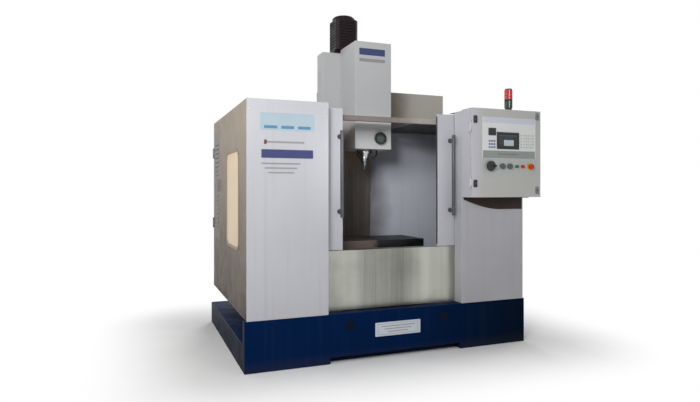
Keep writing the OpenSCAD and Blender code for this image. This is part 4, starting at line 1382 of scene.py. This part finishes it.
@fitting("machine", "knob_black", "black", "dark_glass")
def lube_cap(bm):
    """The filler cap and the gauge of the lubrication unit."""
    low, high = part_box("lube_unit")
    x = middle("lube_unit").x
    cap = place(TOP, x - 0.075, low.y + 0.06, high.z - 0.105)
    gauge = place(FRONT, x + 0.06, low.y + 0.01, low.z + 0.12)
    turned(bm, cap, [(0.024, 0), (0.024, 0.012), (0.02, 0.016)], 24)
    slab(bm, gauge, 0.02, 0.14, 0, 0.004, 0.006, 0.001, 1)


# Studio

def camera():
    """The camera at the photograph's angle."""
    lens = FOCAL_PIXELS * SENSOR / PICTURE_W
    shift = -HORIZON_OFFSET / PICTURE_W
    data = adjust(bpy.data.cameras.new("camera"), sensor_width=SENSOR, lens=lens, shift_y=shift)
    turn = (math.radians(90), 0, math.radians(-CAMERA_YAW))
    bpy.context.scene.camera = adjust(show("camera", data), location=CAMERA_PLACE, rotation_euler=turn)


def light(kind, name, spot, target, power, **settings):
    """A lamp that shines at a point, out of the camera's sight."""
    data = adjust(bpy.data.lights.new(name, kind), energy=power, **settings)
    turn = (Vector(target) - Vector(spot)).to_track_quat("-Z", "Y").to_euler()
    adjust(show(name, data), location=spot, rotation_euler=turn, visible_camera=False)


def surroundings(ambient):
    """A white background with a soft even light."""
    world = bpy.data.worlds.new("studio")
    bpy.context.scene.world = world
    t = Tree(world)
    soft = t.tree.nodes["Background"]
    white = t.add("ShaderNodeBackground")
    for shade in (soft, white):
        shade.inputs["Color"].default_value = (1, 1, 1, 1)
    soft.inputs["Strength"].default_value = ambient
    t.blend(t.straight_rays(), soft, white, "World Output")


def floor_finish():
    """A pale floor that takes the shadow and fades to white further off."""
    f = Finish("floor", roughness=0.9, gloss=0.1)
    f.set("Base Color", f.between(f.noise(3, 4), srgb(238, 238, 238), srgb(244, 244, 244)))
    squares = []
    for axis, reach in (("X", cad_box[1].x), ("Y", cad_box[1].y)):
        outside = f.math("SUBTRACT", f.math("ABSOLUTE", f.along(axis)), reach)
        squares.append(f.math("POWER", f.math("MAXIMUM", outside), 2.0))
    away = f.math("SQRT", f.math("ADD", *squares))
    fade = f.times(f.level(away, 0.0, 1.0, 0.0, 1.1, "SMOOTHSTEP"), f.straight_rays())
    f.blend(fade, f.shader, f.add("ShaderNodeEmission"), "Material Output")


def floor():
    """The floor under the machine."""
    mesh = bpy.data.meshes.new("floor")
    size = 14
    z = -0.0005
    square = [(-size, -size, z), (size, -size, z), (size, size, z), (-size, size, z)]
    mesh.from_pydata(square, [], [(0, 1, 2, 3)])
    obj = show("floor", mesh)
    floor_finish()
    mesh.materials.append(M["floor"])


camera()
surroundings(0.34)
floor()
light("AREA", "key", (-2.2, -3.7, 2.7), (-0.5, -0.6, 1.2), 74, size=1.0)
light("AREA", "left_fill", (-5.2, -1.4, 3.4), (-0.6, -0.3, 1.7), 46, size=2.0)
light("AREA", "rear_fill", (1.6, 5.4, 3.2), (0.2, 0.8, 1.2), 130, size=2.6)
light("AREA", "right_fill", (5.4, 0.6, 2.6), (1.2, 0, 1.2), 45, size=2.4)
light("SPOT", "bay_light", (-2.2, -4.1, 2.2), (0.55, 0.34, 1.35), 250,
      spot_size=math.radians(16), spot_blend=1.0, shadow_soft_size=0.3)
bpy.context.scene.view_settings.view_transform = "Standard"
